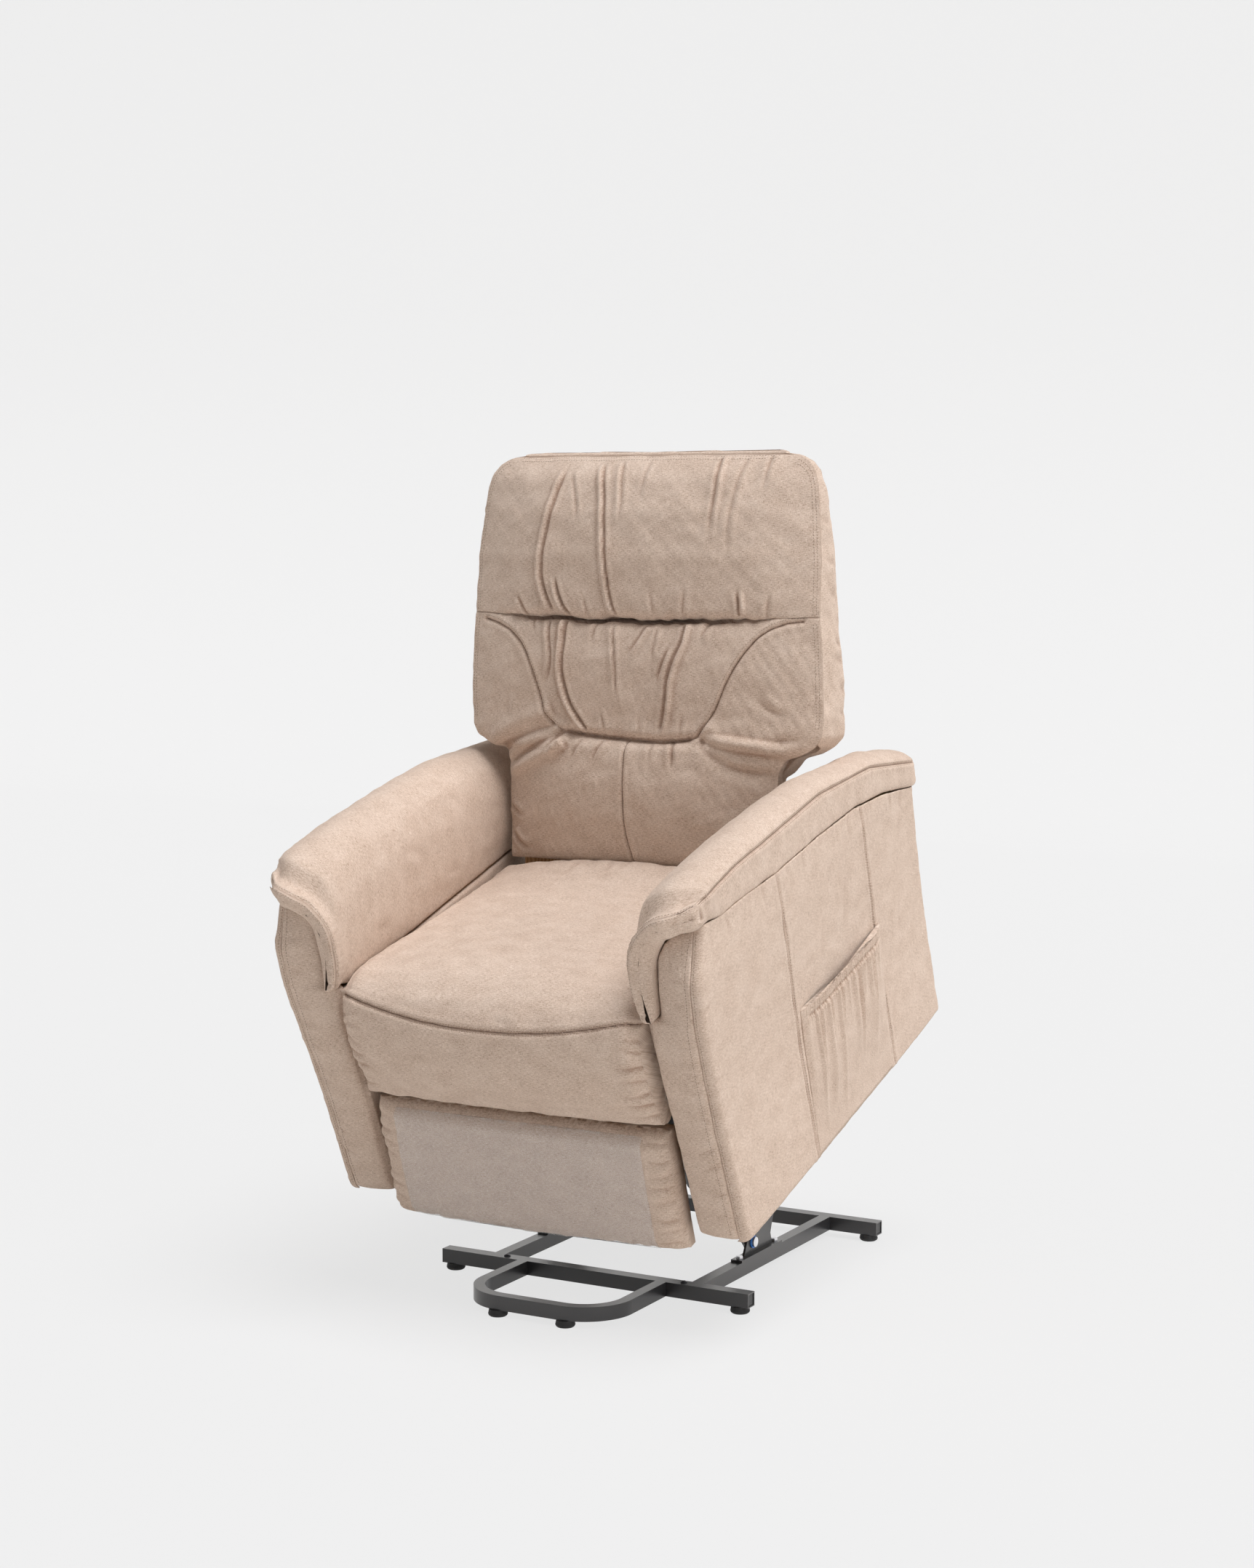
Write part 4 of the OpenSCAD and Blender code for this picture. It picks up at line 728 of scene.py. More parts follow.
mid_folds = [
    crease([(-170, 452), (-165, 414), (-161, 369), (-175, 324)], 2.8, 4.2, 1.0, -0.4, (.02, .4)),
    crease([(-134, 455), (-134, 414), (-135, 359), (-126, 314), (-105, 279), (-84, 250)],
           4.0, 4.2, 1.1, -0.6, (.03, .06)),
    crease([(-35, 450), (-26, 387), (-24, 337), (-16, 288)], 2.2, 3.6, 1.0, -0.2, (.1, .4)),
    crease([(31, 452), (12, 413), (-8, 380)], 2.2, 4.5, 1.0, 0.4, (.03, .5)),
    crease([(55, 448), (50, 399), (50, 370)], 1.5, 4.0, 1.0, 0.3, (.05, .5)),
    crease([(106, 452), (103, 419), (92, 390), (79, 350), (72, 301), (60, 252)],
           3.4, 4.4, 1.1, 0.4, (.03, .1)),
    crease([(82, 412), (65, 365), (56, 335)], 2.4, 4.2, 1.0, 0.3, (.3, .4)),
    crease([(-70, 452), (-74, 425), (-72, 405)], 2.0, 4.5, 0.9, 0.1, (.03, .7)),
    crease([(150, 455), (142, 430), (139, 412)], 2.0, 5.0, 0.9, 0.1, (.03, .7)),
    crease([(-208, 455), (-202, 438), (-196, 428)], 2.2, 5.0, 0.9, 0.1, (.03, .7)),
    crease([(-60, 300), (-52, 268), (-50, 246)], 1.8, 4.0, 0.9, 0.1, (.6, .02)),
    crease([(20, 290), (22, 262), (20, 244)], 1.6, 4.4, 0.9, 0.1, (.6, .02)),
    crease([(108, 300), (103, 270), (100, 246)], 1.6, 4.4, 0.9, 0.1, (.6, .02)),
    # Strain folds that run out from the ends of the lower tuck
    pleat([(-132, 250), (-152, 232), (-172, 205)], 5.0, 6.0, 0.9, 0.4, (.04, .5)),
    pleat([(-138, 250), (-180, 228), (-232, 204), (-282, 180)], 7.5, 9.0, 0.9, 0.5, (.04, .25)),
    pleat([(-150, 262), (-208, 246), (-262, 222), (-305, 190)], 7.5, 12.0, 0.8, -0.3, (.05, .2)),
    pleat([(-255, 320), (-262, 290), (-255, 262)], 1.6, 7.0, 0.8, 0.2, (.4, .4)),
    crease([(-51, 238), (-65, 208), (-70, 190)], 2.4, 4.6, 0.9, 0.3, (.02, .6)),
    crease([(-95, 238), (-112, 205), (-118, 188)], 1.9, 5.0, 0.9, 0.3, (.02, .6)),
    crease([(87, 238), (90, 207), (88, 185)], 2.8, 5.0, 0.9, -0.3, (.02, .6)),
    crease([(45, 236), (47, 210), (46, 196)], 1.6, 5.0, 0.9, -0.3, (.02, .6)),
    pleat([(135, 247), (174, 232), (226, 222), (290, 222)], 6.0, 9.0, 0.9, 0.4, (.05, .3)),
    pleat([(132, 240), (180, 206), (227, 190), (278, 186)], 4.5, 10.0, 0.8, 0.3, (.25, .3)),
    pleat([(145, 256), (197, 254), (272, 246), (330, 250)], 4.0, 8.0, 0.9, -0.4, (.05, .3)),
    crease([(232, 330), (262, 300), (300, 286)], 2.0, 9.0, 0.8, 0.2, (.4, .4)),
    crease([(-262, 60), (-238, 40), (-214, 30)], 2.5, 6.0, 0.9, 0.3, (.1, .5)),
    crease([(262, 66), (240, 44), (214, 32)], 2.5, 6.0, 0.9, -0.3, (.1, .5)),
    crease([(-266, 110), (-244, 96), (-226, 90)], 2.0, 6.0, 0.9, 0.3, (.05, .6)),
    bulge((-60, 350), (70, 70), 2.5), bulge((60, 320), (60, 60), 2.0),
    bulge((-120, 130), (90, 60), 2.0), bulge((130, 130), (90, 60), 2.0),
]


def edge_roll(z0, r, depth, sides=0.28):
    """Turns the cloth inward at the top or bottom edge of a cushion, less toward its sides."""
    def height(a, b):
        s = np.clip(1 - np.abs(b - z0) / r, 0, 1)
        side = sides + (1 - sides) * smooth((300 - np.abs(a + 10)) / 120)
        return -depth * side * (1 - np.sqrt(np.maximum(1 - s * s, 0)))
    return height


def tuck_sag(p):
    """The tuck under the headrest hangs lower in the middle and is scalloped by its gathers."""
    x, z = p[..., 0], p[..., 2]
    scallop = waves(x[..., None], 95, 77, 9) + 0.6 * waves(x[..., None], 38, 78, 9)
    drop = 11 * np.clip(1 - (x / 320) ** 2, 0, 1) - 3
    drop += 1.5 * scallop * np.clip(1 - (x / 300) ** 4, 0, 1)
    out = p.copy()
    out[..., 2] -= drop * np.exp(-((z - 456) / 55) ** 2)
    return out


zs_head = np.concatenate([[HEAD_LOW, 457.0, 458.2], np.arange(460, 733, FINE),
                          [734, 736, 738, 739.5, 741, BACK_LEN]])
head = back_piece("headrest", zs_head, head_crown,
                  head_folds + [edge_roll(HEAD_LOW, 22, 26, 0.1), edge_roll(BACK_LEN, 9, 5, 1.0)],
                  ["headrest_cushion"], 11)
zs_low = np.concatenate([[LUMBAR_LOW, 15, 17], np.arange(20, 450, FINE), [452, 454, LUMBAR_TOP]])
low = back_piece("lumbar_back", zs_low, low_crown,
                 mid_folds + [edge_roll(LUMBAR_TOP, 15, 14, 0.06), edge_roll(LUMBAR_LOW, 12, 7),
                              roll(LOW_TUCK, 27, 17, 22, (0.12, 0.12)),
                              seam(SHIELD_R[1:], 4.0, 2.6, 1.6), seam(SHIELD_L[1:], 4.0, 2.6, 1.6),
                              seam(CENTRE, 2.6, 2.2, 1.0)],
                 ["lumbar_cushion", "lower_back_cushion"], 23)
# Painted shade: a dark cord along each seam of the back
for line in (SHIELD_R[1:], SHIELD_L[1:], CENTRE):
    stitch("back_seam_shade", grid_line(low, curve(line, 12)), *SEAM_SHADE_LINE)
for line, off in ((SHIELD_R, 6.5), (SHIELD_L, -6.5)):
    stitch("back_stitching", grid_line(low, beside(line, off)[6:]))
TWIN = (5.0, 10.5)      # how far the two edge rows lie from the edge
for s in (-1, 1):
    for inset in TWIN:
        line = [(s * (table(back_width, z, 5) - inset), z) for z in np.arange(268, 452, 10.0)]
        stitch("back_stitching", grid_line(low, line))
        zz = np.concatenate([np.arange(460, 680, 12.0), np.arange(680, 738, 4.0)])
        line = [(s * (table(back_width, z, 5) - inset), z - inset * max(0.0, (z - 680) / 60))
                for z in zz]
        stitch("back_stitching", grid_line(head, line))
for inset in TWIN:
    line = [(x, BACK_LEN - inset) for x in np.arange(-262, 263, 20.0)]
    stitch("back_stitching", grid_line(head, line))


def back_cover():
    """Band and rear cover, from the front seam round the sides and the top to the rear."""
    zs = np.concatenate([np.arange(-50, 178, 9.0), np.arange(178, 258, 4.0),
                         np.arange(258, 690, STEP * 1.3), np.arange(690, BACK_LEN, 2.6),
                         [BACK_LEN, 744, 745.6, 746.6, 747]])
    low_w = 241.0      # half width of the part between the arms
    outline = [[-60, low_w], [176, low_w], [188, low_w + 20]] + [w for w in back_width if w[0] > 205]
    rings, ca, cb = [], [], []
    band = np.linspace(0, 1, max(int(90 / STEP), 8))
    rear_u = np.linspace(1, -1, max(int(620 / STEP / 1.5), 40))
    for z in zs:
        zc = min(z, BACK_LEN)
        w = float(table(outline, zc, 4))
        front = float(table(back_seam, zc, 20)) + 2.0
        rear = float(table(back_rear, zc, 20))
        open_side = smooth((z - 230) / 14.0)
        y0 = front * open_side + BOARD_REAR * (1 - open_side)
        turn = min(16.0, (rear - y0) * 0.4)
        dome = math.sqrt(max(0.0, 1 - (max(z - BACK_LEN, 0) / 5.0) ** 2))
        pts = []
        for t in band:
            y = y0 + (rear - turn - y0) * t
            puff = 3.2 * math.sin(math.pi * t) * open_side
            pts.append((w + puff, y))
        for t in np.linspace(0.1, 0.95, 6):
            pts.append((w - turn * (1 - math.cos(t * math.pi / 2)),
                        rear - turn * (1 - math.sin(t * math.pi / 2))))
        right = np.array(pts)
        flat_w = w - turn
        mid = np.array([(u * flat_w, rear) for u in rear_u[1:-1]])
        left = right[::-1] * [-1, 1]
        inner_y = max(27.4, y0 + 1.2) if rear > 31 else y0 + 1.2
        inner = np.array([(-w + 3, y0 + 0.3), (-w + 8, inner_y), (0, inner_y), (w - 8, inner_y),
                          (w - 3, y0 + 0.3)])
        ring = np.concatenate([right, mid, left, inner])
        middle = 0.5 * (front + rear)
        rings.append(np.column_stack([ring[:, 0] * (0.93 + 0.07 * dome),
                                      middle + (ring[:, 1] - middle) * dome, np.full(len(ring), z)]))
        s = np.concatenate([[0], np.cumsum(np.linalg.norm(np.diff(ring, axis=0), axis=1))])
        ca.append(s)
        cb.append(np.full(len(ring), z))
    rings, ca, cb = np.array(rings), np.array(ca), np.array(cb)
    n_out = 2 * len(right) + len(mid)
    mask = np.zeros(rings.shape[:2])
    mask[:, 2:n_out - 2] = 1
    half = 0.5 * (ca[:, len(right)] + ca[:, len(right) + len(mid)])
    a = ca - half[:, None]
    feats = [seam([(s * 318, 250), (s * 318, 470), (s * 305, 640), (s * 285, 720)], 2.4, 3.0, 0.8)
             for s in (-1, 1)]
    feats.append(seam([(0, -40), (0, 300), (0, 735)], 2.0, 2.6, 0.7))
    for z in (300, 342, 391, 420, 505, 560, 630):
        feats.append(pleat([(355, z), (395, z + 6)], 1.6, 7.0, 0.8, 0.2, (.3, .4)))
        feats.append(pleat([(-355, z - 8), (-395, z)], 1.6, 7.0, 0.8, -0.2, (.3, .4)))
    p, dip = spread(rings, feats, a, cb, wrap=True, mask=mask, crumple=0.7, seed=31)
    ob = loft("back_cover", p, np.stack([a, cb, dip], -1), cloth, back)
    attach(ob, "back")
    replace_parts(ob, "outside_back")


back_cover()
# The back's seam cords are painted shade
sew("back_seam_shade", "back", seam_shade_cord, back, FACING_FRONT)
sew("back_stitching", "back", sewing, back, FACING_FRONT)


# ---------- Seat ----------

seat_half_w, seat_under = 283.0, 304.5


def seat_section(c):
    """Outline of the cushion from the side, from its edge, c = 0, to its middle, c = 1."""
    return np.array([
        [503, seat_under], [503, 393], [472, 396], [463, 408 + 26 * c], [440, 405 + 38 * c],
        [350, 412 + 26 * c], [250, 420 + 22 * c], [156, 428 + 19 * c], [71, 438 + 15 * c],
        [5, 441 + 12 * c], [-42, 434 + 6 * c], [-68 - 8 * c, 414 - 2 * c], [-78 - 13 * c, 375],
        [-77 - 15 * c, 330], [-66 - 18 * c, 280], [-50 - 12 * c, 240], [-34 - 6 * c, 215 - c],
        [-8, 213], [-1.5, 220], [-1.5, seat_under]], float)


def seat():
    per = []
    s0, s1 = seat_section(0), seat_section(1)
    n = len(s0)
    for i in range(n):
        length = np.linalg.norm(s1[(i + 1) % n] - s1[i])
        fine = 2 <= i <= 16
        per.append(max(int(round(length / (STEP * 1.1 if fine else 40))), 1))
    c0, c1 = curve(s0, per, True), curve(s1, per, True)
    starts = np.concatenate([[0], np.cumsum(per)])
    k = np.linspace(-1, 1, int(568 / STEP / 1.1))
    us = np.sign(k) * np.abs(np.sin(k * math.pi / 2 * 0.93) / math.sin(math.pi / 2 * 0.93))
    crown = 1 - np.abs(us) ** 2.2
    rings = np.stack([np.stack([np.full(len(c0), u * seat_half_w), *(c0 + (c1 - c0) * c).T], -1)
                      for u, c in zip(us, crown)])
    arc = np.concatenate([[0], np.cumsum(np.linalg.norm(np.diff(c1, axis=0), axis=1))])
    a = np.repeat(us[:, None] * seat_half_w, len(c0), 1)
    b = np.repeat(arc[None], len(us), 0)
    # Sides pull in and the corners round over
    edge = smooth((np.abs(a) - 246) / 37.0)
    top = smooth((rings[..., 2] - 330) / 60)
    nose = smooth((20 - rings[..., 1]) / 60)
    rings[..., 2] -= edge ** 2 * top * 11
    rings[..., 1] += edge ** 2 * nose * 14 * smooth((rings[..., 2] - 214) / 30)

    def at(index):
        """Place on the outline of a corner of the section, or between two."""
        i = int(index)
        return arc[min(int(starts[i] + (index - i) * per[i]), len(arc) - 1)]
    line = [(x, at(10.9) + (at(11.75) - at(10.9)) * (1 - abs(x / 284) ** 2.2))
            for x in np.linspace(-282, 282, 25)]
    bottom = [(x, at(16.4)) for x in np.linspace(-282, 282, 9)]
    feats = [seam(line, 4.2, 2.6, 1.5), seam(bottom, 1.5, 3.0, 0.5)]
    rng = np.random.default_rng(5)
    for s in (-1, 1):
        for q in range(7):
            y = at(10.95) + 30 + q * 26 + rng.uniform(-6, 6)
            feats.append(seeded(rng, [(s * 283, y),
                                      (s * (258 - rng.uniform(0, 12)), y + rng.uniform(-8, 8)),
                                      (s * 230, y + rng.uniform(-10, 10))],
                                (1.5, 2.8), (4, 6), (.03, .7)))
    for q in range(6):
        x = rng.uniform(-200, 200)
        feats.append(seeded(rng, [(x, at(3.2)), (x + rng.uniform(-15, 15), at(3.9)),
                                  (x + rng.uniform(-25, 25), at(4.8))], (0.8, 1.5), (5, 8), (.2, .6)))
    for q in range(12):
        x, y = rng.uniform(-210, 210), at(5) + rng.uniform(0, 300)
        d = rng.uniform(-40, 40)
        feats.append(seeded(rng, [(x - 50, y - d * 0.4), (x, y), (x + 55, y + d * 0.5)],
                            (0.4, 0.8), (7, 12), (.5, .5), 0.1))
    feats += [bulge((0, at(12.5)), (180, 70), 2.0), bulge((-90, at(6.5)), (110, 120), -2.0),
              bulge((110, at(6.2)), (110, 120), -2.0)]
    padding = np.where((b > at(2)) & (b < at(17)), 1.0, 0.0)
    p, dip = spread(rings, feats, a, b, wrap=True, mask=padding, crumple=0.6, seed=41)
    ob = loft("seat_cushion_cover", p, np.stack([a, b, dip], -1), cloth, chair)
    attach(ob, "chassis")
    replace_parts(ob, "seat_cushion")

    def on_seam(per_span, off):
        """Points on the cloth beside the front seam, without its ends."""
        pts = curve(line, per_span)
        rows = index_of(pts[:, 0] / seat_half_w, us)
        return on_grid(p, rows, index_of(pts[:, 1] + off, arc), True)[3:-3]
    for off in (-3.5, 3.5):
        stitch("seat_stitching", on_seam(8, off))
    # Painted shade: a dark cord along the seat's front seam
    stitch("seat_seam_shade", on_seam(24, 0.0), *SEAM_SHADE_LINE)


seat()
# The seat's seam cord is painted shade
sew("seat_seam_shade", "chassis", seam_shade_cord, chair, SEAT_LIP)
sew("seat_stitching", "chassis", sewing, chair, SEAT_LIP)


# ---------- Arms ----------

arm_inner, arm_outer, board_x = 290.0, 393.0, 300.0
pad_out, nose_y = 407.0, -73.0
CORNER, TAB = 11.0, 6.0         # radius of the side cover's corners, and the strip of cloth past them
TURN_IN = CORNER + TAB + 0.5    # from the outside of an arm in to the edge of its facing
EDGE_ROW = 4.4                  # from a seam of the side cover to the stitches beside it
low_seam = [[-80, 578], [-19, 573], [21, 566], [112, 560], [238, 547], [409, 539], [558, 526],
            [678, 502], [815, 458], [840, 450]]
high_seam = [[-80, 612], [0, 614], [112, 618], [215, 612], [428, 603], [633, 567], [821, 500],
             [840, 493]]
crest = [[-80, 616], [-40, 630], [0, 640], [100, 642], [234, 638], [343, 631], [456, 620],
         [520, 606], [573, 594], [690, 571], [807, 528], [840, 512]]
arm_front = [[-10, -8], [0, -9], [200, -32], [330, -50], [420, -62], [490, -59], [518, -43], [565, -17],
             [600, -17]]
arm_rear = [[0, 830], [463, 806], [560, 800]]
arm_bulge = [[0, 0], [200, 0], [300, 3], [400, 8], [490, 12], [560, 10]]
# Nose of the pad seen from the front, its lip last, and how far it curves back on each line
NOSE = np.array([[400, 571], [404, 590], [401, 610], [382, 608], [362, 608], [340, 600], [318, 583],
                 [299, 562], [286, 541], [279, 515], [279, 480], [282, 450], [290, 424], [303, 417],
                 [315, 424], [318, 470], [322, 512], [334, 541], [354, 562], [379, 571]], float)
ACROSS = [2, 19, 19, 18, 18, 18, 17, 17, 16, 16, 15, 15, 14, 14, 13, 10, 9, 7, 5, 2]
nose_bow = [[278, 13], [311, 12], [335, 0], [355, 0], [370, 7], [381, 22], [392, 36], [404, 52]]
lip_bow = [[303, 18], [315, 25], [320, 25], [324, 30], [332, 28], [347, 18], [365, 12], [380, 30]]


def sided(side):
    """Name of an arm by its side, 1 or -1, and the factors that mirror its points."""
    return "left" if side > 0 else "right", np.array([side, 1, 1])


def pad_section(y):
    """Outline of the padded top from the front, at y."""
    lo, hi, top = (float(table(t, y, 12)) for t in (low_seam, high_seam, crest))
    drape = float(np.interp(y, [560, 700], [0, 1]))
    foot = 412 + (lo - 68 - 412) * drape
    body = np.array([
        [pad_out - 2, lo], [pad_out + 1, (lo + hi) / 2], [pad_out - 1, hi],
        [pad_out - 9, hi + (top - hi) * 0.6], [pad_out - 30, top - 1], [pad_out - 56, top - 1],
        [pad_out - 80, top - 12], [arm_inner + 14, top - 30], [arm_inner + 1, top - 58],
        [arm_inner - 7, top - 92], [arm_inner - 9, (top - 92 + foot) / 2], [arm_inner - 5, foot + 26],
        [arm_inner - 1, foot + 6], [arm_inner + 6, foot], [board_x - 1.5, foot + 6],
        [board_x - 1.5, foot + 40], [board_x - 1.5, lo - 2.5], [board_x + 8, lo - 1],
        [board_x + 40, lo], [pad_out - 22, lo]])
    t = float(smooth((-22 - y) / 26.0))
    return body * (1 - t) + NOSE * t


def arm_pad(side):
    """Padded top of an arm: a face across the nose, then the body behind the seam round it."""
    per = 9
    counts = [per] * 12 + [4, 4, 3, 4, 4, 4, 4, 4]
    starts = np.concatenate([[0], np.cumsum(counts)])
    face = np.linspace(0, 1, 9)[:-1]
    body = np.concatenate([[nose_y, nose_y + 1.2], np.arange(nose_y + 3, 800, STEP * 1.1),
                           800 + 27 * np.sin(np.linspace(0.03, 0.49, 9) * math.pi)])
    is_lip = np.zeros(starts[-1])
    is_lip[starts[14]:starts[19] + 1] = 1
    is_lip = np.convolve(np.concatenate([is_lip[-3:], is_lip, is_lip[:3]]), np.ones(7) / 7, "valid")

    def bend(ring, y):
        ramp_y = float(np.clip((40 - y) / (40 - nose_y), 0, 1))
        off = table(nose_bow, ring[:, 0], 5) * (1 - is_lip) + table(lip_bow, ring[:, 0], 5) * is_lip
        return y + ramp_y * off
    rings, a = [], []
    sec = pad_section(nose_y)
    outline = curve(sec, counts, True)
    middle = curve(0.5 * (sec + sec[ACROSS]), counts, True)
    y = bend(outline, nose_y)
    index = np.arange(len(y))
    close_by = np.abs(index[:, None] - index[None]) < 12
    across = np.linalg.norm(middle[:, None] - middle[None], axis=2) + 1e3 * close_by
    ym = 0.5 * (y + y[np.argmin(across, 1)])
    for s in face:
        ring = middle + (outline - middle) * s
        puff = 7.0 * (1 - s ** 2.4)
        rings.append(np.column_stack([ring[:, 0], ym + (y - ym) * s - puff, ring[:, 1]]))
        a.append(nose_y - (1 - s) * 19)
    for y in body:
        sec = pad_section(y)
        if y > 700:
            k = np.clip((828 - y) / 30.0, 0, 1)
            c = np.array([345.0, sec[[0, 4], 1].mean()])
            sec = c + (sec - c) * (1 - 0.22 * (1 - math.sqrt(1 - (1 - k) ** 2)))
        ring = curve(sec, counts, True)
        rings.append(np.column_stack([ring[:, 0], bend(ring, y), ring[:, 1]]))
        a.append(y)
    rings, ys = np.array(rings), np.array(a)
    nf = len(face)
    span = np.diff(rings[len(ys) // 3][:, [0, 2]], axis=0)
    arc = np.concatenate([[0], np.cumsum(np.linalg.norm(span, axis=1))])
    hi_at = arc[starts[2]]
    a = np.repeat(ys[:, None], len(arc), 1)
    b = np.repeat(arc[None] - hi_at, len(ys), 0)
    end = arc[starts[12]] - hi_at
    feats = [seam([(y, 0) for y in np.linspace(nose_y, 815, 12)], 3.0, 2.4, 1.2),
             seam([(nose_y + 1, q) for q in np.linspace(-40, end, 14)], 3.4, 2.3, 1.5),
             seam([(nose_y - 19, 18), (nose_y, 14)], 1.2, 2.2, 0.4)]
    rng = np.random.default_rng(60 + side)
    for q in range(22):
        y = -66 + q * 9 + rng.uniform(-3, 3)
        feats.append(seeded(rng, [(y, 2), (y + rng.uniform(-3, 6), 12),
                                  (y + rng.uniform(-2, 10), 22 + rng.uniform(0, 16))],
                            (0.4, 0.9), (2.6, 3.6), (.02, .7), fade=1 - q / 26))
    for q in range(22):
        w = 8 + q * end / 22 + rng.uniform(-4, 4)
        feats.append(seeded(rng, [(nose_y + 2, w), (nose_y + 16, w + rng.uniform(-3, 3)),
                                  (nose_y + 36 + rng.uniform(-8, 14), w + rng.uniform(-6, 6))],
                            (0.3, 0.9), (3.0, 4.4), (.02, .7)))
        feats.append(pleat([(nose_y - 1, w + 4), (nose_y - 15, w + 4 + rng.uniform(-4, 4))],
                           rng.uniform(0.3, 0.8), 2.8, 0.9, 0.2, (.02, .5)))
    for q in range(11):
        y, w = rng.uniform(60, 700), rng.uniform(90, 280)
        feats.append(seeded(rng, [(y - 40, w - 8), (y, w), (y + 45, w + 10)],
                            (0.5, 1.1), (7, 12), (.5, .5), 0.1))
    for y in (600, 612, 628, 690, 716, 760):
        feats.append(pleat([(y, -26), (y + 3, -4)], 0.8, 3.0, 0.9, 0.2, (.2, .2)))
    mask = np.ones(a.shape)
    mask[:, starts[13] + 2:starts[19]] = 0
    mask[0] = 0.0
    mask *= 1 - 0.85 * np.exp(-((a - nose_y) / 24) ** 2 - (b / 18) ** 2)
    p, dip = spread(rings, feats, a, b, wrap=True, mask=mask, crumple=0.3, seed=70 + side)
    name, flip = sided(side)
    weave = np.stack([b, a, dip], -1)
    weave[:nf, :, :2] = rings[:nf][..., [0, 2]] + [1500, 0]
    ob = loft(f"{name}_pad_cover", p * flip, weave, cloth, chair, caps=(False, True))
    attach(ob, "chassis")
    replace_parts(ob, f"{name}_arm_pad")

    def at(y, w):
        """Points on the cloth at y along the arm and w round it. One of the two is a list."""
        y, w = np.broadcast_arrays(y, w)
        return on_grid(p, index_of(y, ys), index_of(w, arc - hi_at), True) * flip
    run = np.linspace(nose_y + 6, 800, 400)
    for off in (4.6, -4.6):
        stitch("arm_stitching", at(run, off))
    # Painted shade: dark cords along the seam down the arm and the seam round the nose
    stitch("arm_seam_shade", at(run, 0.0), *SEAM_SHADE_LINE)
    w = np.linspace(5, end - 6, 200)
    stitch("arm_seam_shade", at(nose_y + 1, w), *SEAM_SHADE_LINE)
    for y in (nose_y + 5.2, nose_y - 4.2):
        stitch("arm_stitching", at(y, w))


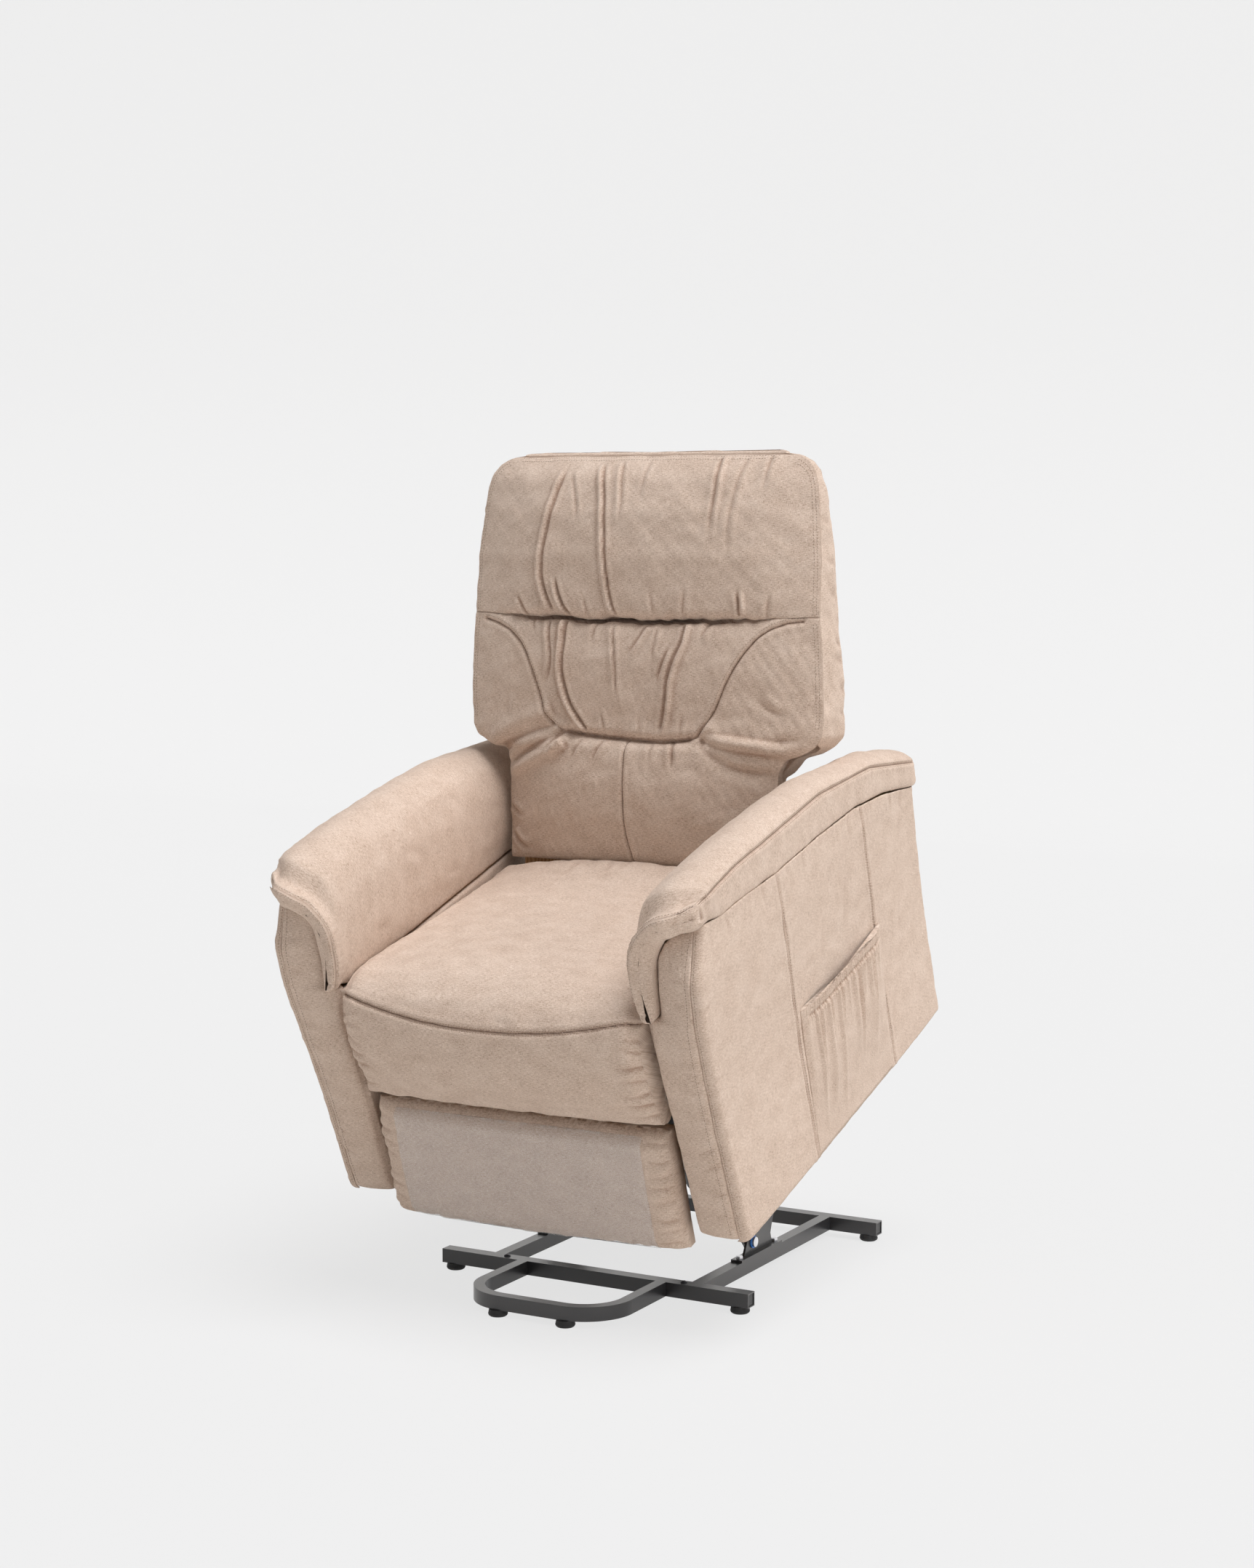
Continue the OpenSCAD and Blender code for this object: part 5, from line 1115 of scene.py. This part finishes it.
def side_panel(side):
    """Outer side of an arm: round its front corner to a seam on the facing, and round its rear."""
    r, tab = CORNER, TAB
    step = STEP * 1.2
    turn = r * math.pi / 2
    m = int(572 / step)
    vs = np.concatenate([[0, 0.004], np.linspace(0.011, 0.989, m), [0.996, 1]])
    wrap_s = np.concatenate([[0, 1.2], np.linspace(2.6, tab, 3)[:-1], np.linspace(tab, tab + turn, 8)])
    inner_u = np.linspace(0, 1, int(815 / step))[1:-1]
    cols = 2 * len(wrap_s) + len(inner_u)
    rings, length = [], []
    for v in vs:
        row, s_row = [], []
        for part, values in (("front", wrap_s), ("side", inner_u), ("rear", wrap_s[::-1])):
            for t in values:
                guess = {"front": -17.0, "side": -17 + 817 * t, "rear": 800.0}[part]
                top = float(table(low_seam, guess, 10)) - 1.0
                z = -3 + (top + 3) * v
                xo = arm_outer + float(table(arm_bulge, z, 20))
                f, b = float(table(arm_front, z, 12)) - 0.5, float(table(arm_rear, z, 12)) - 0.5
                if part == "side":
                    x, y = xo, f + r + (b - f - 2 * r) * t
                    s = tab + turn + (y - f - r)
                else:
                    if t < tab:
                        dx, dy = r + tab - t, 0.0
                    else:
                        w = (t - tab) / r
                        dx, dy = r - r * math.sin(w), r - r * math.cos(w)
                    x, y = xo - dx, (f + dy) if part == "front" else (b - dy)
                    s = t if part == "front" else 2 * (tab + turn) + (b - f - 2 * r) - t
                row.append((x, y, z))
                s_row.append(s)
        rings.append(row)
        length.append(s_row)
    p0, a = np.array(rings), np.array(length) - tab - turn
    z = p0[..., 2]
    b = z
    u = np.clip(a / 806.0, 0, 1)
    p0[..., 0] += 3.0 * (1 - (2 * u - 1) ** 8)
    s = np.clip(1 - (z + 3) / 9.0, 0, 1)
    p0[..., 0] -= 5.0 * (1 - np.sqrt(1 - s * s))
    front_y = table(arm_front, z, 12)
    y_here = a + front_y + r
    lines = [[(235, 545), (250, 270), (264, 4)], [(569, 525), (588, 270), (605, 4)]]
    feats = [seam(line, 3.0, 2.4, 1.2) for line in lines]
    feats.append(seam([(-9, 575), (400, 546), (560, 533), (700, 500), (800, 466)], 2.0, 3.0, 0.6))
    rng = np.random.default_rng(90 + side)
    for q in range(14):
        yy, zz = rng.uniform(20, 780), rng.uniform(60, 470)
        feats.append(seeded(rng, [(yy - 14, zz - 70), (yy, zz), (yy + 18, zz + 70)],
                            (0.5, 1.1), (9, 16), (.5, .5), 0.1, 0.8))
    for q in range(12):
        yy = -10 + 68 * q + rng.uniform(-14, 14)
        top = float(table(low_seam, yy))
        feats.append(seeded(rng, [(yy, top - 3), (yy + rng.uniform(-8, 8), top - 26),
                                  (yy + rng.uniform(-14, 14), top - 60)],
                            (0.6, 1.4), (3.5, 6), (.02, .7), 0.1))
    for q in range(9):
        zz = 30 + 58 * q + rng.uniform(-12, 12)
        edge = float(table(arm_front, zz))
        feats.append(seeded(rng, [(edge + 2, zz), (edge + 34, zz + rng.uniform(-14, 14))],
                            (0.5, 1.2), (3.5, 5), (.1, .7), 0.1))
    p, dip = spread(p0, feats, y_here, b, crumple=0.25, seed=95 + side)
    inside = p - normals(p, False) * 3.0
    name, flip = sided(side)
    ob = shell(f"{name}_side_cover", p * flip, inside * flip, np.stack([a, b, dip], -1), cloth, chair)
    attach(ob, "chassis")
    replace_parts(ob, f"{name}_arm_outer_panel")
    for line in lines:
        for off in (EDGE_ROW, -EDGE_ROW):
            pts = beside(line, off)
            rows = index_of(pts[:, 1], z[:, cols // 3])
            cc = [index_of(yy, y_here[int(round(rr))]) for yy, rr in zip(pts[:, 0], rows)]
            rows = [index_of(zz, z[:, int(round(c))]) for zz, c in zip(pts[:, 1], cc)]
            stitch("arm_stitching", on_grid(p, np.array(rows), np.array(cc))[2:-2] * flip)
    rows = np.linspace(3, p.shape[0] - 4, 320)
    column = index_of(EDGE_ROW - tab - turn, a[5])
    stitch("facing_stitching", on_grid(p, rows, np.full(320, column)) * flip)
    # Cover behind the arm, from the side to the seat's frame
    part, Z = np.meshgrid(np.linspace(0, 1, 18), np.linspace(0, 457, 60))
    X = board_x + (arm_outer + table(arm_bulge, Z, 20) - r - tab + 4 - board_x) * part
    g = np.stack([X, table(arm_rear, Z, 20) - 0.5 + 2.0 * np.sin(math.pi * part), Z], -1)
    cov = shell(f"{name}_rear_cover", g * flip, (g - [0, 4, 0]) * flip, np.stack([X, Z], -1),
                cloth, chair)
    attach(cov, "chassis")


facing_in = [[0, 0], [412, 0], [420, 17], [450, 19], [490, 21], [512, 23], [528, 29], [541, 37],
             [552, 47], [562, 62]]
facing_in_y = [[0, -5], [200, -28], [330, -46], [385, -51], [425, -44], [459, -44], [490, -42],
               [520, -38], [541, -34], [552, -28], [562, -16]]


def facing(side):
    """Front of an arm under the pad."""
    zs = np.concatenate([[1, 2, 4], np.arange(7, 404, STEP * 1.3), np.arange(405, 424, 2.0),
                         np.arange(425, 558, STEP * 1.2), [559, 561, 562]])
    rings = []
    for z in zs:
        yi, yo = float(table(facing_in_y, z, 20)), float(table(arm_front, z, 12)) - 0.5
        xi = board_x + 0.5 + float(table(facing_in, z, 3))
        xo = arm_outer + float(table(arm_bulge, z, 20)) - TURN_IN
        puff = float(np.interp(z, [0, 20, 340, 430, 562], [5, 9, 9, 5, 1.5]))
        tight = 3.5 * (1 - math.sqrt(1 - np.clip(1 - (z - 1) / 8.0, 0, 1) ** 2))
        rear = max(yi, yo) + 16
        w = xo - xi
        pts = [[xi + 1, rear], [xi, yi + 3 + tight],
               [xi + 0.12 * w, yi + 0.12 * (yo - yi) - 0.62 * puff + tight],
               [xi + 0.5 * w, (yi + yo) / 2 - puff + tight],
               [xi + 0.86 * w, yi + 0.86 * (yo - yi) - 0.66 * puff + tight],
               [xo, yo + 1.6 + tight], [xo - 1, rear]]
        ring = curve(pts, [3, 6, 12, 12, 5, 3, 4], True)
        rings.append(np.column_stack([ring[:, 0], ring[:, 1], np.full(len(ring), z)]))
    rings = np.array(rings)
    a, b = rings[..., 0], rings[..., 2]
    rng = np.random.default_rng(140 + side)
    feats = [bulge((345, 300), (60, 120), 1.5)]
    for q in range(10):
        z = 40 + q * 50 + rng.uniform(-14, 14)
        x = arm_outer - 19
        feats.append(seeded(rng, [(x, z), (x - 14, z + rng.uniform(-6, 6)),
                                  (x - 34, z + rng.uniform(-16, 16))],
                            (0.7, 1.5), (3.5, 5.5), (.02, .7)))
    for q in range(6):
        x = 322 + q * 12 + rng.uniform(-3, 3)
        feats.append(seeded(rng, [(x - 4, 560), (x, 520), (x + 6, 480)], (0.6, 1.4), (4, 6), (.05, .7)))
    front = np.zeros(a.shape)
    front[:, 4:38] = 1
    p, dip = spread(rings, feats, a, b, wrap=True, mask=front, crumple=0.25, seed=120 + side)
    name, flip = sided(side)
    ob = loft(f"{name}_facing_cover", p * flip, np.stack([a, b, dip], -1), cloth, chair)
    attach(ob, "chassis")
    rows = np.linspace(4, len(zs) - 3, 320)
    ca = rings[len(zs) // 2, 9:34, 0]
    cc = np.interp(arm_outer - TURN_IN - 4.6, ca, np.arange(9, 34))
    stitch("facing_stitching", on_grid(p, rows, np.full(320, cc), True) * flip)
    return ob


def inner_panel(side):
    """Inner side of an arm above the seat's frame, and a lining beside the seat and the footrest."""
    Y, Z = np.meshgrid(np.linspace(-40, 785, 130), np.linspace(240, 408, 24))
    Y = np.maximum(Y, table(arm_front, Z, 20) + 20)
    X = arm_inner + 1.0 - 1.2 * np.sin(math.pi * (Z - 240) / 168)
    g = np.stack([X, Y, Z], -1)
    h = g.copy()
    h[..., 0] = board_x - 0.6
    name, flip = sided(side)
    ob = shell(f"{name}_inner_cover", g * flip, h * flip, np.stack([Y, Z], -1), cloth, chair)
    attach(ob, "chassis")
    # Lining down the front of the arm's inner side, beside the seat and the footrest
    across, Z = np.meshgrid(np.linspace(16, 70, 12), np.linspace(4, 244, 50))
    Y = table(arm_front, Z, 20) + across
    g = np.stack([np.full_like(Y, board_x - 1.0), Y, Z], -1)
    h = g + [0.7, 0, 0]
    lining = shell(f"{name}_front_lining", g * flip, h * flip, np.stack([Y, Z], -1), cloth, chair)
    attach(lining, "chassis")
    return ob


for s in (1, -1):
    arm_pad(s)
    side_panel(s)
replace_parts(facing(1), "arm_facings")
facing(-1)
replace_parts(inner_panel(1), "arm_inner_panels")
inner_panel(-1)
# The arms' seam cords are painted shade
sew("arm_seam_shade", "chassis", seam_shade_cord, chair, ARM_LINES)
sew("arm_stitching", "chassis", sewing, chair, ARM_LINES)
sew("facing_stitching", "chassis", sewing, chair, FACING_FRONT)


# ---------- Pocket ----------

def pocket():
    """Gathered pocket on the sitter's left, with an elastic hem."""
    y0, y1, z0, z1 = 262.0, 600.0, 4.0, 283.0
    us = np.linspace(0, 1, 260)
    vs = np.concatenate([np.linspace(0, 0.9, 44), np.linspace(0.905, 1, 14)])
    u, v = np.meshgrid(us, vs)
    rng = np.random.default_rng(7)
    side_w = 1 - np.abs(2 * u - 1) ** 8
    rise = smooth(v * 1.5)
    folds = np.zeros_like(u)
    for k in range(15):
        c = (k + 0.5) / 15 + rng.uniform(-0.012, 0.012)
        wide = rng.uniform(0.008, 0.017) * (1 + 1.6 * (1 - v))
        reach = rng.uniform(0.15, 0.75)
        lean = rng.uniform(-0.05, 0.05)
        fold = rng.uniform(3.6, 6.6) * np.exp(-((u - c - lean * (1 - v)) / wide) ** 2)
        folds += fold * smooth((v - (1 - reach) + 0.3) / 0.5)
    hem = smooth((v - 0.93) / 0.012)
    gather = 0.9 * np.sin(2 * math.pi * 58 * u + 0.6 * np.sin(9 * u)) * smooth((v - 0.86) / 0.05)
    hem_seam = 3.0 * np.exp(-((v - 0.93) / 0.012) ** 2)
    depth = (12.0 * rise + folds * (1 - 0.75 * hem) + gather - hem_seam) * side_w
    z = z0 + (z1 - z0) * v + 2.5 * np.sin(2 * math.pi * 3.2 * u) * hem * 0.3
    x = arm_outer + table(arm_bulge, z, 20) + 4.6 + depth
    y = y0 + (y1 - y0) * u + 10 * (1 - v) * (1 - 2 * u) + 4 * (v - 0.5)
    front = np.stack([x, y, z], -1)
    rear = front - [2.0, 0, 0]
    rings = np.concatenate([front, rear[:, ::-1]], 1)
    # How deep the cloth lies in its gathers and under its hem, darkened by the fabric as painted shade
    dip = np.clip(blur(depth, 6) - depth - 0.1, 0, 3)
    ca = np.concatenate([u * 520, (u * 520)[:, ::-1]], 1)
    cb = np.concatenate([z, z[:, ::-1]], 1)
    cc = np.concatenate([dip, 0 * dip], 1)
    ob = loft("side_pocket_cover", rings, np.stack([ca, cb, cc], -1), cloth, chair)
    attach(ob, "chassis")
    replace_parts(ob, "side_pocket")


pocket()


# ---------- Footrest ----------

FOOT_W, FOOT_LOW, FOOT_HIGH = 283.0, -32.0, 194.0
SLEEVE_W = 238      # half width of the clear sleeve


def foot_front(u, v):
    z = FOOT_LOW + (FOOT_HIGH - FOOT_LOW) * v + np.where(v < 0.5, 6 * np.abs(u) * (1 - 2 * v), 0)
    reach = (1 - np.abs(u) ** 14) * (1 - np.abs(2 * v - 1) ** 6)
    y = -10 + (-35) * np.sqrt(np.clip(reach, 0, 1)) - 3 * (1 - u * u) * smooth(np.minimum(v, 1 - v) * 8)
    return np.stack([u * FOOT_W, y, z], -1)


def footrest():
    cu = np.linspace(-1, 1, int(600 / STEP))
    us = np.sign(cu) * (1 - (1 - np.abs(cu)) ** 1.25)
    cv = np.linspace(-1, 1, int(280 / STEP))
    vs = 0.5 + 0.5 * np.sign(cv) * (1 - (1 - np.abs(cv)) ** 1.35)
    u, v = np.meshgrid(us, vs)
    p = foot_front(u, v)
    a, b = p[..., 0], p[..., 2]
    feats = [bulge((0, 80), (220, 60), 1.5)]
    rng = np.random.default_rng(17)
    for s in (-1, 1):
        for q in range(8):
            z = -10 + q * 26 + rng.uniform(-6, 6)
            feats.append(seeded(rng, [(s * 280, z), (s * 264, z + rng.uniform(-5, 5)),
                                      (s * (238 - rng.uniform(0, 20)), z + rng.uniform(-9, 9))],
                                (1.0, 2.2), (4, 6), (.05, .7)))
    for q in range(10):
        x = -240 + q * 53 + rng.uniform(-14, 14)
        feats.append(seeded(rng, [(x, -24), (x + rng.uniform(-4, 4), -8), (x + rng.uniform(-8, 8), 12)],
                            (0.8, 1.6), (4, 6), (.1, .7)))
    p, dip = spread(p, feats, a, b, crumple=0.6, seed=130)
    rear = p[:, ::-1].copy()
    rear[..., 1] = 6.5
    rear = rear[:, ::6]
    rings = np.concatenate([p, rear], 1)
    ca = np.concatenate([a, rear[..., 0] + 700], 1)
    cb = np.concatenate([b, rear[..., 2]], 1)
    cc = np.concatenate([dip, 0 * rear[..., 2]], 1)
    ob = loft("footrest_cover", rings, np.stack([ca, cb, cc], -1), cloth, chair)
    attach(ob, "footrest_panel")
    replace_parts(ob, "footrest_pad")
    return p, us, vs


foot_p, foot_us, foot_vs = footrest()


def protector():
    """Clear sleeve over the middle of the footrest pad."""
    half = SLEEVE_W / FOOT_W
    us = np.linspace(-half, half, 90)
    vs = np.linspace(0.03, 0.965, 60)
    u, v = np.meshgrid(us, vs)
    p = on_grid(foot_p, index_of(v, foot_vs).ravel(), index_of(u, foot_us).ravel()).reshape(*u.shape, 3)
    n = normals(p, False)
    n *= np.sign(-n[..., 1:2])
    wav = waves(np.stack([p[..., 0], p[..., 2]], -1), 60, 5) * 0.5
    lip = 3.5 * smooth((v - 0.86) / 0.05) * smooth((0.965 - v) / 0.05)
    p = p + n * (1.2 + np.abs(wav) * 0.8 + lip)[..., None]
    q = p - n * 0.5
    rings = np.concatenate([p, q[:, ::-1]], 1)
    cu = np.concatenate([p[..., 0], q[:, ::-1, 0]], 1)
    cb = np.concatenate([p[..., 2], q[:, ::-1, 2]], 1)
    ob = loft("footrest_sleeve", rings, np.stack([cu, cb], -1), clear, chair)
    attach(ob, "footrest_panel")
    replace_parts(ob, "footrest_protector")


protector()


# ---------- Floor, light, camera ----------

PAPER = 0.69               # how pale the paper is to the object
SHADOW_DEPTH = 0.11        # and to the camera, where the rest of its brightness is a glow
GLOW, BACKLIGHT = 0.731, 0.05      # of the floor, and what is added on the upright part


def floor():
    """Paper that turns up in a quarter round behind the chair."""
    me = bpy.data.meshes.new("studio_floor")
    w, start, r = 14.0, 6.5, 2.5
    bend = [(start + r * math.sin(t), r - r * math.cos(t)) for t in np.linspace(0.1, math.pi / 2, 12)]
    prof = [(-9.0, 0.0), (start, 0.0), *bend, (start + r, 11.0)]
    verts = [(x, y, z - 0.0005) for y, z in prof for x in (-w, w)]
    faces = [[2 * i, 2 * i + 1, 2 * i + 3, 2 * i + 2] for i in range(len(prof) - 1)]
    me.from_pydata(verts, [], faces)
    me.polygons.foreach_set("use_smooth", [True] * len(faces))
    ob = bpy.data.objects.new("studio_floor", me)
    bpy.context.scene.collection.objects.link(ob)
    m, nt, b = material("studio_paper")
    seen = node(nt, "LightPath")
    tint = ramp(nt, [(0.3, (PAPER, PAPER * 0.97, PAPER * 0.93)),
                     (0.7, (PAPER * 1.01, PAPER * 0.98, PAPER * 0.94))])
    link(nt, texture(nt, own(nt), Scale=3.0, Detail=3.0), "Fac", tint, "Fac")
    shown = node(nt, "Mix", data_type="RGBA")
    link(nt, seen, "Is Camera Ray", shown, 0)
    link(nt, tint, "Color", shown, 6)
    shown.inputs[7].default_value = (SHADOW_DEPTH,) * 3 + (1,)
    link(nt, shown, 2, b, "Base Color")
    direct = node(nt, "Math", operation="MAXIMUM")
    link(nt, seen, "Is Camera Ray", direct, 0)
    link(nt, seen, "Is Glossy Ray", direct, 1)
    through = node(nt, "Math", operation="MAXIMUM")
    link(nt, direct, 0, through, 0)
    link(nt, seen, "Is Transmission Ray", through, 1)
    # The upright part of the paper, which the lamps miss, is shown as bright as the floor
    part = node(nt, "SeparateXYZ")
    nt.links.new(own(nt), part.inputs["Vector"])
    rise = node(nt, "MapRange", From_Min=6.2, From_Max=8.9)
    link(nt, part, "Y", rise, "Value")
    glow = node(nt, "Math", operation="MULTIPLY_ADD")
    glow.inputs[1].default_value, glow.inputs[2].default_value = BACKLIGHT, GLOW
    link(nt, rise, "Result", glow, 0)
    lit = node(nt, "Math", operation="MULTIPLY")
    link(nt, glow, 0, lit, 0)
    link(nt, through, 0, lit, 1)
    put(b, Roughness=0.75, Specular_IOR_Level=0.0, Emission_Color=(1, 1, 1, 1))
    link(nt, lit, 0, b, "Emission Strength")
    me.materials.append(m)


floor()

scene = bpy.context.scene


def sun(name, towards, power, width, colour):
    d = bpy.data.lights.new(name, "SUN")
    d.energy = power
    d.angle = math.radians(width)
    d.color = colour
    ob = bpy.data.objects.new(name, d)
    scene.collection.objects.link(ob)
    ob.rotation_euler = Vector(towards).to_track_quat("Z", "Y").to_euler()


sun("key_light", (0.33, -0.08, 0.94), 3.2, 38, (0.985, 0.985, 1.0))
sun("side_light", (0.97, -0.22, 0.12), 1.15, 50, (1.0, 0.985, 0.97))
sun("fill_light", (-0.75, -0.6, 0.4), 0.42, 60, (1.0, 0.98, 0.96))
world = bpy.data.worlds.new("studio")
scene.world = world
world.use_nodes = True
wnt = world.node_tree
sky = put(wnt.nodes["Background"], Color=(0.985, 0.99, 1.0, 1))
# Dim on the object, and as pale as the paper to the camera, for views from other sides
pale = node(wnt, "Math", operation="MULTIPLY_ADD")
pale.inputs[1].default_value, pale.inputs[2].default_value = 0.7, 0.17
link(wnt, node(wnt, "LightPath"), "Is Camera Ray", pale, 0)
link(wnt, pale, 0, sky, "Strength")

cam_data = bpy.data.cameras.new("camera")
cam_data.lens = 63.2
cam_data.sensor_width = 36
cam_data.sensor_fit = "AUTO"
cam_data.clip_end = 60
cam = bpy.data.objects.new("camera", cam_data)
scene.collection.objects.link(cam)
cam.location = (2.3318, -4.1914, 1.3470)
cam.rotation_euler = (math.radians(90 - 5.5243), 0, math.radians(28.916))
scene.camera = cam
scene.view_settings.view_transform = "Standard"

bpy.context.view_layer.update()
